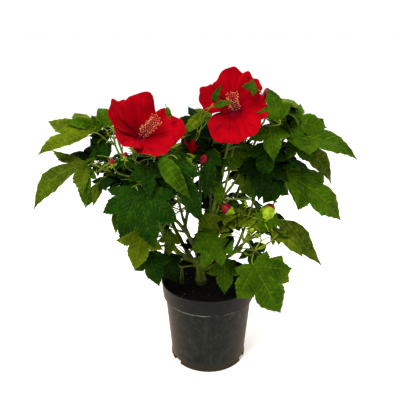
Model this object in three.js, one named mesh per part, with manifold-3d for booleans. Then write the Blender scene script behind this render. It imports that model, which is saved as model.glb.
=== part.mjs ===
// A hibiscus shrub (rose mallow) in flower, about 0.59 m tall, standing in a 19 cm nursery pot.
// Millimetres, +Z up. The origin is the centre of the pot's flat underside. The side that
// carries the two open blooms and the large drooping leaves faces -Y.
import * as THREE from "three";
import { mergeVertices } from "three/addons/utils/BufferGeometryUtils.js";
import Module from "manifold-3d";

const wasm = await Module();
wasm.setup();

const clearance = 0.4; // kept between touching pieces
const bloomClearance = 3 * clearance;

const potSize = {
  height: 172,
  rimRadius: 95,
  bandRadius: 92,
  bandFoot: 137, // the rim band starts here, stepped out from the body
  bodyRadius: 87, // just under the band
  footRadius: 76,
  lipRadius: 77.5, // low bead round the foot
  lipTop: 5,
  wall: 1.6,
  floor: 2.4,
  facets: 24,
};
const drain = { count: 3, width: 22, height: 8, depth: 8, firstTurn: -55 }; // cut-outs in the foot
const soilSize = { top: 158, crown: 3, crownRadius: 60, footRadius: 62, footHeight: 11, facets: 24 };

// Turns are degrees round +Z, counted from +X, so 180 is the plant's left and 270 its front.
// A limb leaves its parent at a share of the parent's length. `arch` bends it by rule: over 0 it
// runs out before it climbs, under 0 it climbs first.
const limbSides = 6;
const limbStep = 28; // about one ring of corners for each of these lengths
const limbPoints = 5;
const flareFade = 5;
const stemFoot = soilSize.top + clearance;
const limbs = {
  trunk: { foot: [-15, 0, stemFoot], turn: 180, reach: 2, rise: 50, from: 10, to: 8.2, flare: 3.5 },
  bough_left: { on: "trunk", at: 0.95, turn: 200, reach: 100, rise: 180, arch: 0.8, from: 6, to: 3 },
  bough_left_high: { on: "trunk", at: 1, turn: 195, reach: 80, rise: 120, arch: -0.5, from: 5, to: 2.6 },
  bough_centre: {
    on: "bough_left_high", at: 0.5, turn: 40, reach: 30, rise: 150, arch: 0.2, from: 3.6, to: 2.4,
  },
  bough_right: { on: "trunk", at: 1, turn: 0, reach: 55, rise: 255, arch: 0.1, from: 5.6, to: 3 },
  bough_right_low: { on: "trunk", at: 0.55, turn: 335, reach: 90, rise: 80, arch: 0.2, from: 4, to: 2.8 },
  bough_back: { on: "trunk", at: 0.8, turn: 90, reach: 90, rise: 160, arch: 0.3, from: 5, to: 3 },
  bough_back_left: { on: "trunk", at: 0.6, turn: 135, reach: 125, rise: 160, arch: 0.4, from: 5, to: 3 },
  bough_back_right: { on: "trunk", at: 0.9, turn: 45, reach: 120, rise: 140, arch: 0.2, from: 5, to: 3 },
  small_shoot: { foot: [-55, 0, stemFoot], turn: 0, reach: 2, rise: 35, from: 4.5, to: 3, flare: 1.5 },
};

// A blade's lobes stand `step` degrees apart and shorten by `drop` for each 100 degrees off the main vein.
const bladeForms = {
  maple: { first: -108, step: 54, count: 5, drop: 0.45, belly: 0.17, notch: 0.5 },
  palm: { first: -108, step: 36, count: 6, drop: 0.45, belly: 0.15, notch: 0.5 },
  folded: { first: -132, step: 44, count: 4, drop: 0.35, belly: 0.17, notch: 0.5 },
  heart: { first: -110, step: 55, count: 5, drop: 0.6, belly: 0.18, notch: 0.68 },
  broad: { first: -54, step: 54, count: 3, drop: 0.6, belly: 0.15, notch: 0.65 },
  narrow: { first: -40, step: 40, count: 3, drop: 1.5, belly: 0.15, notch: 0.5 },
  trident: { first: -60, step: 60, count: 3, drop: 0.75, belly: 0.14, notch: 0.35 },
  blade: { first: -35, step: 35, count: 3, drop: 1.3, belly: 0.14, notch: 0.7 },
  spear: { first: 0, step: 0, count: 1, drop: 0, belly: 0.25, notch: 0.5 },
  fan: { first: -62, step: 62, count: 3, drop: 0.6, belly: 0.15, notch: 0.85 },
};
const bladeRule = {
  thickness: 6,
  thickestAt: 0.55, // share of the way from the joint to the margin
  steps: 2, // points along each side of a lobe
  spraySteps: 1, // the same, for the blades of a spray
  swell: 4,
  taper: 1.7, // over 1 draws a lobe out to a narrow tip
  notchFade: 1.3,
  openGap: 45, // degrees between lobes from which a notch has its full depth
  fullGap: 50, // the same for a lobe's belly
  droop: 0.12, // how far the sides of a blade hang
  camber: 0.12,
};

// The way a blade's upper side looks.
const facing = {
  front: [0, -1, 0.3],
  level: [0, -0.8, 0.6],
  flat: [0, -0.5, 0.85],
  left: [-0.3, -0.8, 0.5],
  right: [0.2, -0.8, 0.5],
};

// A mass is a hub off a limb, the leaves that reach out of it, and a ring of `spray` blades.
// A hub and a leaf's joint are given as [turn, reach, rise]; a blade as [heading, fall, length].
const masses = {
  foliage_upper_left: {
    on: "bough_left", at: 1, hub: [160, 65, 75],
    leaves: [
      { joint: [200, 40, 15], blade: [200, 20, 100], form: "folded", face: "left", camber: 0.06 },
      { joint: [110, 15, 20], blade: [135, -35, 50], form: "broad", face: "level" },
      { joint: [20, 20, 0], blade: [30, 20, 55], form: "broad", face: "level" },
      { joint: [180, 20, 20], blade: [190, -10, 70], form: "narrow", face: "level" },
    ],
  },
  foliage_mid_left: {
    on: "bough_left", at: 1, hub: [175, 75, 30],
    leaves: [
      { joint: [205, 35, 5], blade: [190, 40, 130], form: "trident", face: "left", bend: -0.1 },
      { joint: [170, 30, 5], blade: [60, -30, 50], form: "spear", face: "front" },
      { joint: [215, 35, 5], blade: [255, 70, 75], form: "narrow", face: "front" },
      { joint: [90, 10, 10], blade: [150, -40, 50], form: "broad", face: "level" },
    ],
  },
  foliage_inner_left: {
    on: "bough_left", at: 1, hub: [155, 55, 5],
    leaves: [
      { joint: [235, 55, 5], blade: [240, 60, 50], form: "spear", face: "front" },
      { joint: [300, 30, 10], blade: [340, 40, 70], form: "maple", face: "level" },
      { joint: [200, 30, 0], blade: [210, 50, 70], form: "narrow", face: "level" },
    ],
    spray: { count: 3, size: 60, stalk: 25, firstTurn: 190, lift: 5, droop: 25 },
  },
  foliage_front_left: {
    on: "bough_left", at: 1, hub: [255, 20, 5],
    leaves: [
      { joint: [265, 55, 5], blade: [320, 70, 105], form: "palm", face: "front", camber: 0.06 },
      { joint: [230, 65, -30], blade: [260, 75, 45], form: "spear", face: "front" },
    ],
  },
  foliage_low_left: {
    on: "bough_left", at: 0.75, hub: [240, 20, -5],
    leaves: [{ joint: [250, 25, -5], blade: [235, 70, 80], form: "broad", face: "front" }],
  },
  foliage_rim_left: {
    on: "bough_left", at: 0.5, hub: [220, 25, 0],
    leaves: [{ joint: [240, 25, -5], blade: [310, 65, 70], form: "broad", face: "front" }],
  },
  foliage_over_pot_left: {
    on: "small_shoot", at: 1, hub: [210, 10, 10],
    leaves: [{ joint: [210, 30, 30], blade: [325, 60, 60], form: "fan", face: "front" }],
  },
  foliage_by_bough: {
    on: "bough_left_high", at: 0.75, hub: [190, 10, -5],
    leaves: [{ joint: [300, 15, -20], blade: [250, 75, 45], form: "broad", face: "front" }],
  },
  foliage_under_left_bloom: {
    on: "bough_left", at: 1, hub: [180, 10, 30],
    spray: { count: 4, size: 75, stalk: 35, firstTurn: 200, lift: 10, droop: 30 },
  },
  foliage_front_centre: {
    on: "bough_left", at: 1, hub: [300, 30, 55],
    leaves: [
      { joint: [310, 65, 10], blade: [350, 70, 120], form: "narrow", face: "left", camber: 0.05 },
      { joint: [285, 55, 15], blade: [335, 50, 90], form: "spear", face: "left" },
      { joint: [250, 30, -10], blade: [285, 60, 55], form: "maple", face: "front" },
    ],
  },
  foliage_between_blooms: {
    on: "bough_centre", at: 1, hub: [120, 15, 25],
    leaves: [
      { joint: [10, 25, 30], blade: [180, 65, 95], form: "maple", face: "level" },
      { joint: [325, 40, 50], blade: [215, 30, 75], form: "narrow", face: "level" },
    ],
    spray: { count: 2, size: 65, stalk: 30, firstTurn: 160, lift: 10, droop: 35 },
  },
  foliage_centre: {
    on: "bough_right", at: 0.85, hub: [120, 20, 5],
    leaves: [
      { joint: [225, 20, 10], blade: [235, 75, 95], form: "narrow", face: "level" },
      { joint: [235, 15, -40], blade: [305, 75, 65], form: "spear", face: "front" },
      { joint: [265, 10, -20], blade: [230, 85, 60], form: "spear", face: "left" },
      { joint: [330, 25, 10], blade: [350, 45, 65], form: "fan", face: "level" },
    ],
    spray: { count: 2, size: 65, stalk: 30, firstTurn: 215, lift: 5, droop: 35 },
  },
  foliage_low_centre: {
    on: "bough_right", at: 0.35, hub: [300, 30, 0],
    leaves: [
      { joint: [265, 45, 0], blade: [225, 50, 65], form: "palm", face: "front" },
      { joint: [200, 30, 30], blade: [340, 55, 50], form: "broad", face: "front" },
    ],
  },
  foliage_over_pot: {
    on: "bough_right_low", at: 0.5, hub: [295, 15, 10],
    leaves: [{ joint: [250, 15, 5], blade: [270, 70, 65], form: "broad", face: "front" }],
  },
  foliage_low_right: {
    on: "bough_right_low", at: 1, hub: [305, 30, -5],
    leaves: [
      { joint: [265, 35, -10], blade: [345, 60, 105], form: "heart", face: "front", camber: 0.05 },
      { joint: [5, 20, -25], blade: [350, 35, 60], form: "fan", face: "front" },
    ],
  },
  foliage_right_spray: {
    on: "bough_right_low", at: 1, hub: [15, 35, 35],
    leaves: [
      { joint: [325, 20, -5], blade: [350, 40, 85], form: "narrow", face: "flat", camber: 0.06 },
      { joint: [15, 45, 5], blade: [350, 50, 120], form: "spear", face: "level", camber: 0.02 },
    ],
  },
  foliage_mid_right: {
    on: "bough_right", at: 1, hub: [350, 75, -50],
    leaves: [
      { joint: [345, 25, -5], blade: [350, 40, 150], form: "blade", face: "right", camber: 0.05 },
      { joint: [180, 10, 10], blade: [250, 60, 80], form: "maple", face: "level" },
    ],
  },
  foliage_right_behind: {
    on: "bough_right", at: 1, hub: [15, 105, -15],
    leaves: [
      { joint: [350, 30, -10], blade: [5, 50, 105], form: "spear", face: "level", bend: 0.1 },
      { joint: [300, 20, 10], blade: [330, 40, 70], form: "broad", face: "level" },
    ],
  },
  foliage_upper_right: {
    on: "bough_right", at: 1, hub: [355, 75, 25],
    leaves: [
      { joint: [315, 15, -5], blade: [345, 20, 150], form: "blade", face: "flat" },
      { joint: [330, 20, 0], blade: [0, 5, 80], form: "broad", face: "level" },
      { joint: [250, 25, 0], blade: [280, 60, 65], form: "broad", face: "level" },
    ],
    spray: { count: 2, size: 60, stalk: 35, firstTurn: 60, lift: 5, droop: 5 },
  },
  foliage_top_right: {
    on: "bough_right", at: 1, hub: [335, 65, 40],
    leaves: [{ joint: [300, 40, 0], blade: [130, -60, 60], form: "broad", face: "right" }],
  },
  foliage_under_right_bloom: {
    on: "bough_right", at: 1, hub: [20, 50, -45],
    leaves: [
      { joint: [310, 35, 35], blade: [240, 70, 70], form: "broad", face: "level" },
      { joint: [330, 55, -30], blade: [210, 50, 60], form: "fan", face: "right" },
      { joint: [230, 20, -15], blade: [310, 80, 60], form: "fan", face: "left" },
      { joint: [260, 30, 0], blade: [270, 70, 75], form: "narrow", face: "level" },
    ],
    spray: { count: 2, size: 75, stalk: 30, firstTurn: 200, lift: 5, droop: 35 },
  },
  foliage_inner_right: {
    on: "bough_right_low", at: 1, hub: [50, 30, 45],
    leaves: [
      { joint: [175, 40, 15], blade: [330, 70, 45], form: "fan", face: "front" },
      { joint: [325, 35, 20], blade: [190, 70, 50], form: "fan", face: "front" },
    ],
    spray: { count: 3, size: 55, stalk: 25, firstTurn: 215, lift: 0, droop: 45 },
  },
  foliage_back_left: {
    on: "bough_back_left", at: 1, hub: [120, 20, 45],
    spray: { count: 4, size: 90, stalk: 45, firstTurn: 90, arc: 200, lift: 5, droop: 30 },
  },
  foliage_back_centre: {
    on: "bough_back", at: 1, hub: [75, 20, 50],
    spray: { count: 4, size: 90, stalk: 45, firstTurn: 90, arc: 190, lift: 10, droop: 30 },
  },
  foliage_back_right: {
    on: "bough_back_right", at: 1, hub: [35, 25, 45],
    spray: { count: 4, size: 90, stalk: 45, firstTurn: 70, arc: 200, lift: 10, droop: 30 },
  },
  foliage_back_low_left: {
    on: "bough_back_left", at: 0.65, hub: [80, 25, 10],
    spray: { count: 3, size: 75, stalk: 45, firstTurn: 115, arc: 150, lift: 5, droop: 25 },
  },
  foliage_back_low_right: {
    on: "bough_back_right", at: 0.65, hub: [95, 35, 15],
    spray: { count: 3, size: 85, stalk: 45, firstTurn: 60, arc: 150, lift: -5, droop: 35 },
  },
};
const stalkRadius = 3.2;
const stalkTaper = 0.6;
const stalkSides = 3;
const goldenTurn = 137.5;
const goldenShare = 0.618;
// How much the blades of one spray differ: degrees of rise and fall, and share of length.
const sprayVaries = { rise: 12, fall: 25, length: 0.4, arcStart: 0.3 };
const sprayFace = { outward: 0.4, front: 0.25, up: 0.8 };

// The open flowers: the throat off a limb, the way the cup opens, its radius, depth and length of its cone.
const blooms = {
  bloom_left: {
    on: "bough_left", at: 1, throat: [230, 20, 80], opens: { turn: 300, lift: 45 },
    radius: 62, depth: 50, cone: 34, reach: [1.05, 1, 0.95, 0.95, 0.95],
  },
  bloom_right: {
    on: "bough_right", at: 1, throat: [285, 25, 50], opens: { turn: 265, lift: 30 },
    radius: 62, depth: 30, cone: 34, reach: [0.8, 0.95, 1.05, 1, 1.1],
  },
};

const cupRule = { spokes: 20, ruffle: 0.05, crimp: 0.02, wave: 4, waveTurn: 0.6 };

const v = (p) => new THREE.Vector3(...p);
const lerp = THREE.MathUtils.lerp;
const radians = THREE.MathUtils.degToRad;

// ---- places ----

const heading = (turn) => new THREE.Vector3(Math.cos(radians(turn)), Math.sin(radians(turn)), 0);

const stepFrom = (start, [turn, reach, rise]) =>
  start.clone().addScaledVector(heading(turn), reach).add(new THREE.Vector3(0, 0, rise));

function onLimb(name, share) {
  const { on, at, foot, turn, reach, rise, arch = 0 } = limbs[name];
  const start = on ? onLimb(on, at) : v(foot);
  const quarter = (share * Math.PI) / 2;
  const early = Math.sin(quarter);
  const late = 1 - Math.cos(quarter);
  const out = lerp(share, arch > 0 ? early : late, Math.abs(arch));
  const up = lerp(share, arch > 0 ? late : early, Math.abs(arch));
  return stepFrom(start, [turn, reach * out, rise * up]);
}

const limbPath = (name) =>
  Array.from({ length: limbPoints }, (_, i) => onLimb(name, i / (limbPoints - 1)).toArray());

function lobesOf({ first, step, count, drop, belly }) {
  return Array.from({ length: count }, (_, i) => {
    const turn = first + i * step;
    return [turn, 1 - (drop * Math.abs(turn)) / 100, belly];
  });
}

// A leaf's blade: where it joins its stalk, its tip, its outline and the way it looks.
function bladeOf(hub, { joint, blade: [turn, fall, length], form, face, ...shape }) {
  const from = stepFrom(hub, joint);
  const to = stepFrom(from, [turn, length * Math.cos(radians(fall)), -length * Math.sin(radians(fall))]);
  const outline = { lobes: lobesOf(bladeForms[form]), notch: bladeForms[form].notch };
  return { ...outline, from: from.toArray(), to: to.toArray(), face: facing[face], ...shape };
}

// ---- solids and booleans ----

function solidOf(geometry) {
  const bare = new THREE.BufferGeometry().setAttribute("position", geometry.getAttribute("position"));
  if (geometry.index) bare.setIndex(geometry.index);
  const merged = mergeVertices(bare, 1e-3);
  return new wasm.Manifold(
    new wasm.Mesh({
      numProp: 3,
      vertProperties: new Float32Array(merged.attributes.position.array),
      triVerts: new Uint32Array(merged.index.array),
    }),
  );
}

function geometryOf(solid) {
  const mesh = solid.getMesh();
  const points = new Float32Array(mesh.numVert * 3);
  for (let i = 0; i < mesh.numVert; i++) {
    points.set(mesh.vertProperties.subarray(i * mesh.numProp, i * mesh.numProp + 3), i * 3);
  }
  const geometry = new THREE.BufferGeometry().setAttribute("position", new THREE.BufferAttribute(points, 3));
  geometry.setIndex(new THREE.BufferAttribute(mesh.triVerts, 1));
  geometry.computeVertexNormals();
  return geometry;
}

const largestOf = (solid) => solid.decompose().sort((a, b) => b.volume() - a.volume())[0];

function indexed(points, faces) {
  const geometry = new THREE.BufferGeometry().setFromPoints(points);
  return geometry.setIndex(faces);
}

// ---- pot and soil ----

function potGeometry() {
  const p = potSize;
  const inner = (r) => r - p.wall;
  const profile = [
    [0, 0], [p.lipRadius - 3, 0], [p.lipRadius, 1.5], [p.lipRadius, p.lipTop - 1],
    [p.footRadius, p.lipTop + 1], [p.bodyRadius, p.bandFoot], [p.bandRadius - 1, p.bandFoot + 1.5],
    [p.rimRadius - 0.8, p.height - 4],
    [p.rimRadius, p.height - 2.6], [p.rimRadius, p.height], [inner(p.rimRadius) - 0.6, p.height],
    [inner(p.bandRadius) - 0.6, p.bandFoot + 3], [inner(p.bodyRadius), p.bandFoot],
    [inner(p.footRadius), p.floor + 4], [inner(p.footRadius) - 3, p.floor], [0, p.floor],
  ];
  const shell = new THREE.LatheGeometry(profile.map((q) => new THREE.Vector2(...q)), p.facets);
  shell.rotateX(Math.PI / 2);
  let solid = solidOf(shell);
  for (let i = 0; i < drain.count; i++) {
    const turn = radians(drain.firstTurn + (i * 360) / drain.count);
    const cutter = new THREE.BoxGeometry(drain.width, 2 * drain.depth, 2 * drain.height);
    cutter.translate(0, -p.lipRadius, 0).rotateZ(turn);
    solid = solid.subtract(solidOf(cutter));
  }
  return geometryOf(solid);
}

function soilGeometry() {
  const p = potSize;
  const s = soilSize;
  const wallAt = (z) => lerp(p.footRadius, p.bodyRadius, (z - p.lipTop) / (p.bandFoot - p.lipTop)) - p.wall;
  const gap = 1; // between the soil and the pot
  const profile = [
    [0, p.floor + gap], [s.footRadius, p.floor + gap], [wallAt(s.footHeight + 4) - gap, s.footHeight + 4],
    [p.bodyRadius - p.wall - gap, p.bandFoot],
    [p.bandRadius - p.wall - gap - 1, p.bandFoot + 6], [p.bandRadius - p.wall - gap - 1, s.top - s.crown],
    [s.crownRadius, s.top - 0.5], [0, s.top],
  ];
  const lump = new THREE.LatheGeometry(profile.map((q) => new THREE.Vector2(...q)), s.facets);
  return lump.rotateX(Math.PI / 2);
}

// ---- limbs ----

// A closed tapering tube along a path; a limb that stands on the soil has a flat, level foot.
function limbGeometry({ path, from, to, flare = 0 }, grow = 0, sides = limbSides) {
  const curve = new THREE.CatmullRomCurve3(path.map(v), false, "centripetal");
  const steps = path.length < 3 ? 1 : Math.ceil(curve.getLength() / limbStep);
  const frames = curve.computeFrenetFrames(steps, false);
  const points = [];
  for (let i = 0; i <= steps; i++) {
    const t = i / steps;
    const centre = curve.getPointAt(t);
    const radius = lerp(from, to, t) + flare * Math.exp(-flareFade * t) + grow;
    for (let k = 0; k < sides; k++) {
      const turn = (2 * Math.PI * k) / sides;
      const point = centre.clone();
      point.addScaledVector(frames.normals[i], radius * Math.cos(turn));
      point.addScaledVector(frames.binormals[i], radius * Math.sin(turn));
      if (flare && i === 0) point.z = centre.z - grow;
      points.push(point);
    }
  }
  const faces = [];
  for (let i = 0; i < steps; i++) {
    for (let k = 0; k < sides; k++) {
      const a = i * sides + k;
      const b = i * sides + ((k + 1) % sides);
      faces.push(a, b, b + sides, a, b + sides, a + sides);
    }
  }
  const last = steps * sides;
  for (let k = 1; k < sides - 1; k++) faces.push(0, k + 1, k, last, last + k, last + k + 1);
  return indexed(points, faces);
}

// ---- leaf blades ----

// The outline of a lobed blade in its own plane: u along the main vein, v across, length 1.
function bladeOutline({ lobes, notch, steps = bladeRule.steps }) {
  const { swell, taper, notchFade, openGap, fullGap } = bladeRule;
  const outline = [];
  lobes.forEach(([turn, reach, belly], i) => {
    const along = new THREE.Vector2(Math.cos(radians(turn)), Math.sin(radians(turn)));
    const across = new THREE.Vector2(-along.y, along.x);
    for (const side of [-1, 1]) {
      const next = lobes[i + side];
      const start = new THREE.Vector2();
      let fullness = belly * reach;
      let slope = Infinity;
      if (next) {
        const between = Math.abs(next[0] - turn);
        const half = radians(between / 2);
        const chord = (2 * reach * next[1] * Math.cos(half)) / (reach + next[1]);
        const depth = 1 - (1 - notch) * Math.min(1, between / openGap);
        const middle = radians((turn + next[0]) / 2);
        start.set(Math.cos(middle), Math.sin(middle)).multiplyScalar(depth * chord);
        fullness *= Math.min(1, between / fullGap) ** 0.6;
        slope = Math.tan(half);
      }
      const x0 = start.dot(along);
      const y0 = Math.abs(start.dot(across));
      const edge = [];
      for (let k = 0; k <= steps; k++) {
        const t = k / steps;
        const x = lerp(x0, reach, t);
        const width = y0 * (1 - t) ** notchFade + fullness * swell * t * (1 - t) ** taper;
        const y = side * Math.min(width, x * slope);
        edge.push(new THREE.Vector2(along.x * x + across.x * y, along.y * x + across.y * y));
      }
      if (side > 0) edge.reverse();
      else edge.pop();
      if (side > 0 && next) edge.pop();
      outline.push(...edge);
    }
  });
  return outline.slice(1, -1); // both ends are the point where the stalk joins the blade
}

// Where a point of the blade's own plane lies in space; `lift` is the height over the blade.
function bladePlacement(blade) {
  const base = v(blade.from);
  const along = v(blade.to).sub(base);
  const length = along.length();
  along.normalize();
  const normal = v(blade.face);
  normal.addScaledVector(along, -normal.dot(along)).normalize();
  const across = new THREE.Vector3().crossVectors(normal, along);
  const { camber = bladeRule.camber, bend = 0 } = blade;
  return (q, lift) => {
    const t = THREE.MathUtils.clamp(q.x, 0, 1);
    const arch = 4 * t * (1 - t);
    const rise = camber * arch - bladeRule.droop * q.y * q.y;
    const point = base.clone().addScaledVector(along, length * q.x);
    point.addScaledVector(across, length * (q.y + bend * arch));
    return point.addScaledVector(normal, length * rise + lift);
  };
}

// A closed pad of the blade's outline, thickest half way out and sharp at the margin.
function bladeGeometry(blade, grow = 0) {
  const place = bladePlacement(blade);
  const rim = bladeOutline(blade);
  rim.forEach((q) => q.multiplyScalar(1 + grow / 20));
  const half = bladeRule.thickness / 2 + grow;
  const last = rim.length - 1;
  const points = [];
  const faces = [];
  const add = (point) => points.push(point) - 1;
  const sheet = (side) => {
    const edgeLift = grow * side;
    const ringLift = (i) => (i === 0 || i === last ? edgeLift : half * side);
    return {
      base: add(place(new THREE.Vector2(0, 0), edgeLift)),
      ring: rim.map((q, i) => add(place(q.clone().multiplyScalar(bladeRule.thickestAt), ringLift(i)))),
      rim: rim.map((q) => add(place(q, edgeLift))),
    };
  };
  const top = sheet(1);
  const bottom = sheet(-1);
  for (let i = 0; i < last; i++) {
    faces.push(top.base, top.ring[i], top.ring[i + 1]);
    faces.push(top.ring[i], top.rim[i], top.rim[i + 1], top.ring[i], top.rim[i + 1], top.ring[i + 1]);
    faces.push(bottom.base, bottom.ring[i + 1], bottom.ring[i]);
    faces.push(bottom.ring[i], bottom.rim[i + 1], bottom.rim[i]);
    faces.push(bottom.ring[i], bottom.ring[i + 1], bottom.rim[i + 1]);
  }
  if (grow) {
    const pick = (s) => [s.base, s.ring[0], ...s.rim, s.ring[last]];
    const upper = pick(top);
    const lower = pick(bottom);
    upper.forEach((a, i) => {
      const j = (i + 1) % upper.length;
      faces.push(lower[i], lower[j], upper[j], lower[i], upper[j], a);
    });
  }
  return indexed(points, faces);
}

// ---- masses ----

// The blades of a spray stand round its hub, each one golden turn on from the last.
function sprayBlades(hub, { count, size, stalk, firstTurn, arc, lift, droop }) {
  const blades = [];
  for (let k = 0; k < count; k++) {
    const wave = ((k * goldenShare) % 1) - 0.5;
    const inArc = firstTurn + arc * (((k * goldenShare + sprayVaries.arcStart) % 1) - 0.5);
    const turn = radians(arc ? inArc : firstTurn + k * goldenTurn);
    const out = new THREE.Vector3(Math.cos(turn), Math.sin(turn), 0);
    const rise = radians(lift + sprayVaries.rise * wave);
    const sag = ((k * (1 - goldenShare)) % 1) - 0.5;
    const fall = radians(droop + sprayVaries.fall * sag);
    const base = v(hub).addScaledVector(out, stalk * Math.cos(rise));
    base.z += stalk * Math.sin(rise);
    const length = size * (1 + sprayVaries.length * wave);
    const tip = base.clone().addScaledVector(out, length * Math.cos(fall));
    tip.z -= length * Math.sin(fall);
    const { outward, front, up } = sprayFace;
    const face = [outward * out.x, outward * out.y - front, up];
    const { fan } = bladeForms;
    const outline = { lobes: lobesOf(fan), notch: fan.notch, steps: bladeRule.spraySteps };
    blades.push({ ...outline, from: base.toArray(), to: tip.toArray(), face });
  }
  return blades;
}

function massSolid({ on, at, hub: offset, leaves = [], spray }, grow = 0) {
  const centre = stepFrom(onLimb(on, at), offset);
  const hub = centre.toArray();
  const blades = leaves.map((leaf) => bladeOf(centre, leaf));
  const all = spray ? [...blades, ...sprayBlades(hub, spray)] : blades;
  let solid = null;
  for (const blade of all) {
    const join = bladePlacement(blade)(new THREE.Vector2(0.25, 0), 0).toArray();
    const stalk = { path: [hub, join], from: stalkRadius, to: stalkRadius - stalkTaper };
    for (const piece of [bladeGeometry(blade, grow), limbGeometry(stalk, grow, stalkSides)]) {
      const next = solidOf(piece);
      solid = solid ? solid.add(next) : next;
    }
  }
  return solid;
}

// ---- blooms ----

// Five broad petals as one thick cup: a ruffled rim, a dished face and a cone down to the stalk.
function bloomGeometry({ on, at, throat, opens, radius, depth, cone, reach }, grow = 0) {
  const centre = stepFrom(onLimb(on, at), throat);
  const lift = radians(opens.lift);
  const out = stepFrom(new THREE.Vector3(), [opens.turn, Math.cos(lift), Math.sin(lift)]);
  const side = new THREE.Vector3(1, 0, 0).addScaledVector(out, -out.x).normalize();
  const up = new THREE.Vector3().crossVectors(out, side);
  const { spokes, ruffle, crimp, wave, waveTurn } = cupRule;
  const place = (r, turn, z) => {
    const point = centre.clone().addScaledVector(out, z);
    point.addScaledVector(side, r * Math.cos(turn));
    return point.addScaledVector(up, r * Math.sin(turn));
  };
  // Rings from the stalk out to the rim and back in to the throat: share of radius and height.
  const rings = [
    [0.14, -cone], [0.2, -cone * 0.45], [0.62, depth * 0.3 - 6], [1, depth - 3], [1.03, depth],
    [0.94, depth - 1], [0.5, depth * 0.52], [0.14, 6],
  ];
  const points = [];
  rings.forEach(([share, height], ring) => {
    for (let k = 0; k < spokes; k++) {
      const turn = (2 * Math.PI * k) / spokes;
      const petal = (k / spokes) * reach.length;
      const near = Math.floor(petal) % reach.length;
      const blend = 0.5 - 0.5 * Math.cos(Math.PI * (petal % 1));
      const size = lerp(reach[near], reach[(near + 1) % reach.length], blend);
      const outer = ring > 1 && ring < 7;
      const edge = outer ? size * (1 + ruffle * Math.cos(5 * turn) + crimp * Math.cos(11 * turn)) : 1;
      const lap = outer ? share * wave * Math.cos(5 * turn + waveTurn) : 0;
      const inside = ring > 4 ? -grow : grow;
      points.push(place(radius * share * edge + grow, turn, height + lap - inside));
    }
  });
  const faces = [];
  for (let i = 0; i < rings.length - 1; i++) {
    for (let k = 0; k < spokes; k++) {
      const a = i * spokes + k;
      const b = i * spokes + ((k + 1) % spokes);
      faces.push(a, b, b + spokes, a, b + spokes, a + spokes);
    }
  }
  const last = (rings.length - 1) * spokes;
  for (let k = 1; k < spokes - 1; k++) faces.push(0, k + 1, k, last, last + k, last + k + 1);
  return indexed(points, faces);
}

// ---- the plant ----

const looks = {
  pot: { color: 0x34362f, roughness: 0.55, metalness: 0 },
  soil: { color: 0x17120e, roughness: 1, metalness: 0 },
  stem: { color: 0x66802a, roughness: 0.6, metalness: 0 },
  leaf: { color: 0x2f5a18, roughness: 0.55, metalness: 0 },
  petal: { color: 0xb40a1c, roughness: 0.5, metalness: 0 },
};
const materials = Object.fromEntries(
  Object.entries(looks).map(([name, look]) => [name, new THREE.MeshStandardMaterial({ name, ...look })]),
);

const group = new THREE.Group();
const taken = []; // grown copies of what already stands, which later pieces keep clear of

function addMesh(name, geometry, material) {
  const mesh = new THREE.Mesh(geometry, material);
  mesh.name = name;
  group.add(mesh);
}

function addCut(name, solid, grown, material) {
  let left = solid;
  for (const other of taken) left = left.subtract(other);
  addMesh(name, geometryOf(largestOf(left)), material);
  taken.push(grown);
}

addMesh("pot", potGeometry(), materials.pot);
addMesh("soil", soilGeometry(), materials.soil);
for (const [name, sizes] of Object.entries(limbs)) {
  const limb = { ...sizes, path: limbPath(name) };
  addCut(name, solidOf(limbGeometry(limb)), solidOf(limbGeometry(limb, clearance)), materials.stem);
}
for (const [name, bloom] of Object.entries(blooms)) {
  addCut(name, solidOf(bloomGeometry(bloom)), solidOf(bloomGeometry(bloom, bloomClearance)), materials.petal);
}
for (const [name, mass] of Object.entries(masses)) {
  addCut(name, massSolid(mass), massSolid(mass, clearance), materials.leaf);
}

export default group;
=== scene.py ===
import math
import random
import bpy
import numpy as np
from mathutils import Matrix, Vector
from mathutils.bvhtree import BVHTree


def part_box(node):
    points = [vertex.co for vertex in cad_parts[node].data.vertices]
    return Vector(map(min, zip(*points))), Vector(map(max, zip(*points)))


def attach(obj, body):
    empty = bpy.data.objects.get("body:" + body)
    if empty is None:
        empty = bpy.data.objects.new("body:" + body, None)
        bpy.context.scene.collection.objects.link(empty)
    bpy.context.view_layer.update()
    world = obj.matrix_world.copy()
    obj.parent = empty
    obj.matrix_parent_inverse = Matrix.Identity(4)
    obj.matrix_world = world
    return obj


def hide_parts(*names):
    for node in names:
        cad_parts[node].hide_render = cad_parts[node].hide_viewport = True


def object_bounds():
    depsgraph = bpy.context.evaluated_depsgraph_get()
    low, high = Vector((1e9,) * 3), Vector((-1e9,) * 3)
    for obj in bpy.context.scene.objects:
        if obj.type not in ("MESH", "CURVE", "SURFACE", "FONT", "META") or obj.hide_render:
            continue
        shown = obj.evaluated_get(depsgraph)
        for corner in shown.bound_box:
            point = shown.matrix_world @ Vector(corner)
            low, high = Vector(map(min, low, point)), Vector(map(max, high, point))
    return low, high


# A rose mallow in flower in its nursery pot: leaves, canes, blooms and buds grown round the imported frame.
# Lengths in the settings are millimetres, except where a note says metres. Meshes are in metres.
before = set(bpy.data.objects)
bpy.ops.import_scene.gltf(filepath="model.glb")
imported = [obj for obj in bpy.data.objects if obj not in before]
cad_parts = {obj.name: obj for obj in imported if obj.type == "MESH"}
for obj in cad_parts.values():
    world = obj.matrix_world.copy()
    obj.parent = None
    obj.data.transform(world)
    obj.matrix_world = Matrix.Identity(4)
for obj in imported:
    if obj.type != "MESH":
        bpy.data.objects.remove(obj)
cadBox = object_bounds()
mm = 0.001
goldenTurn = math.radians(137.5)
anyPhase = (0, 6.28)


def vec(p):
    return Vector(p) * mm


def lerp(a, b, t):
    return a + (b - a) * t


def unit(v):
    return v / np.linalg.norm(v)


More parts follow.
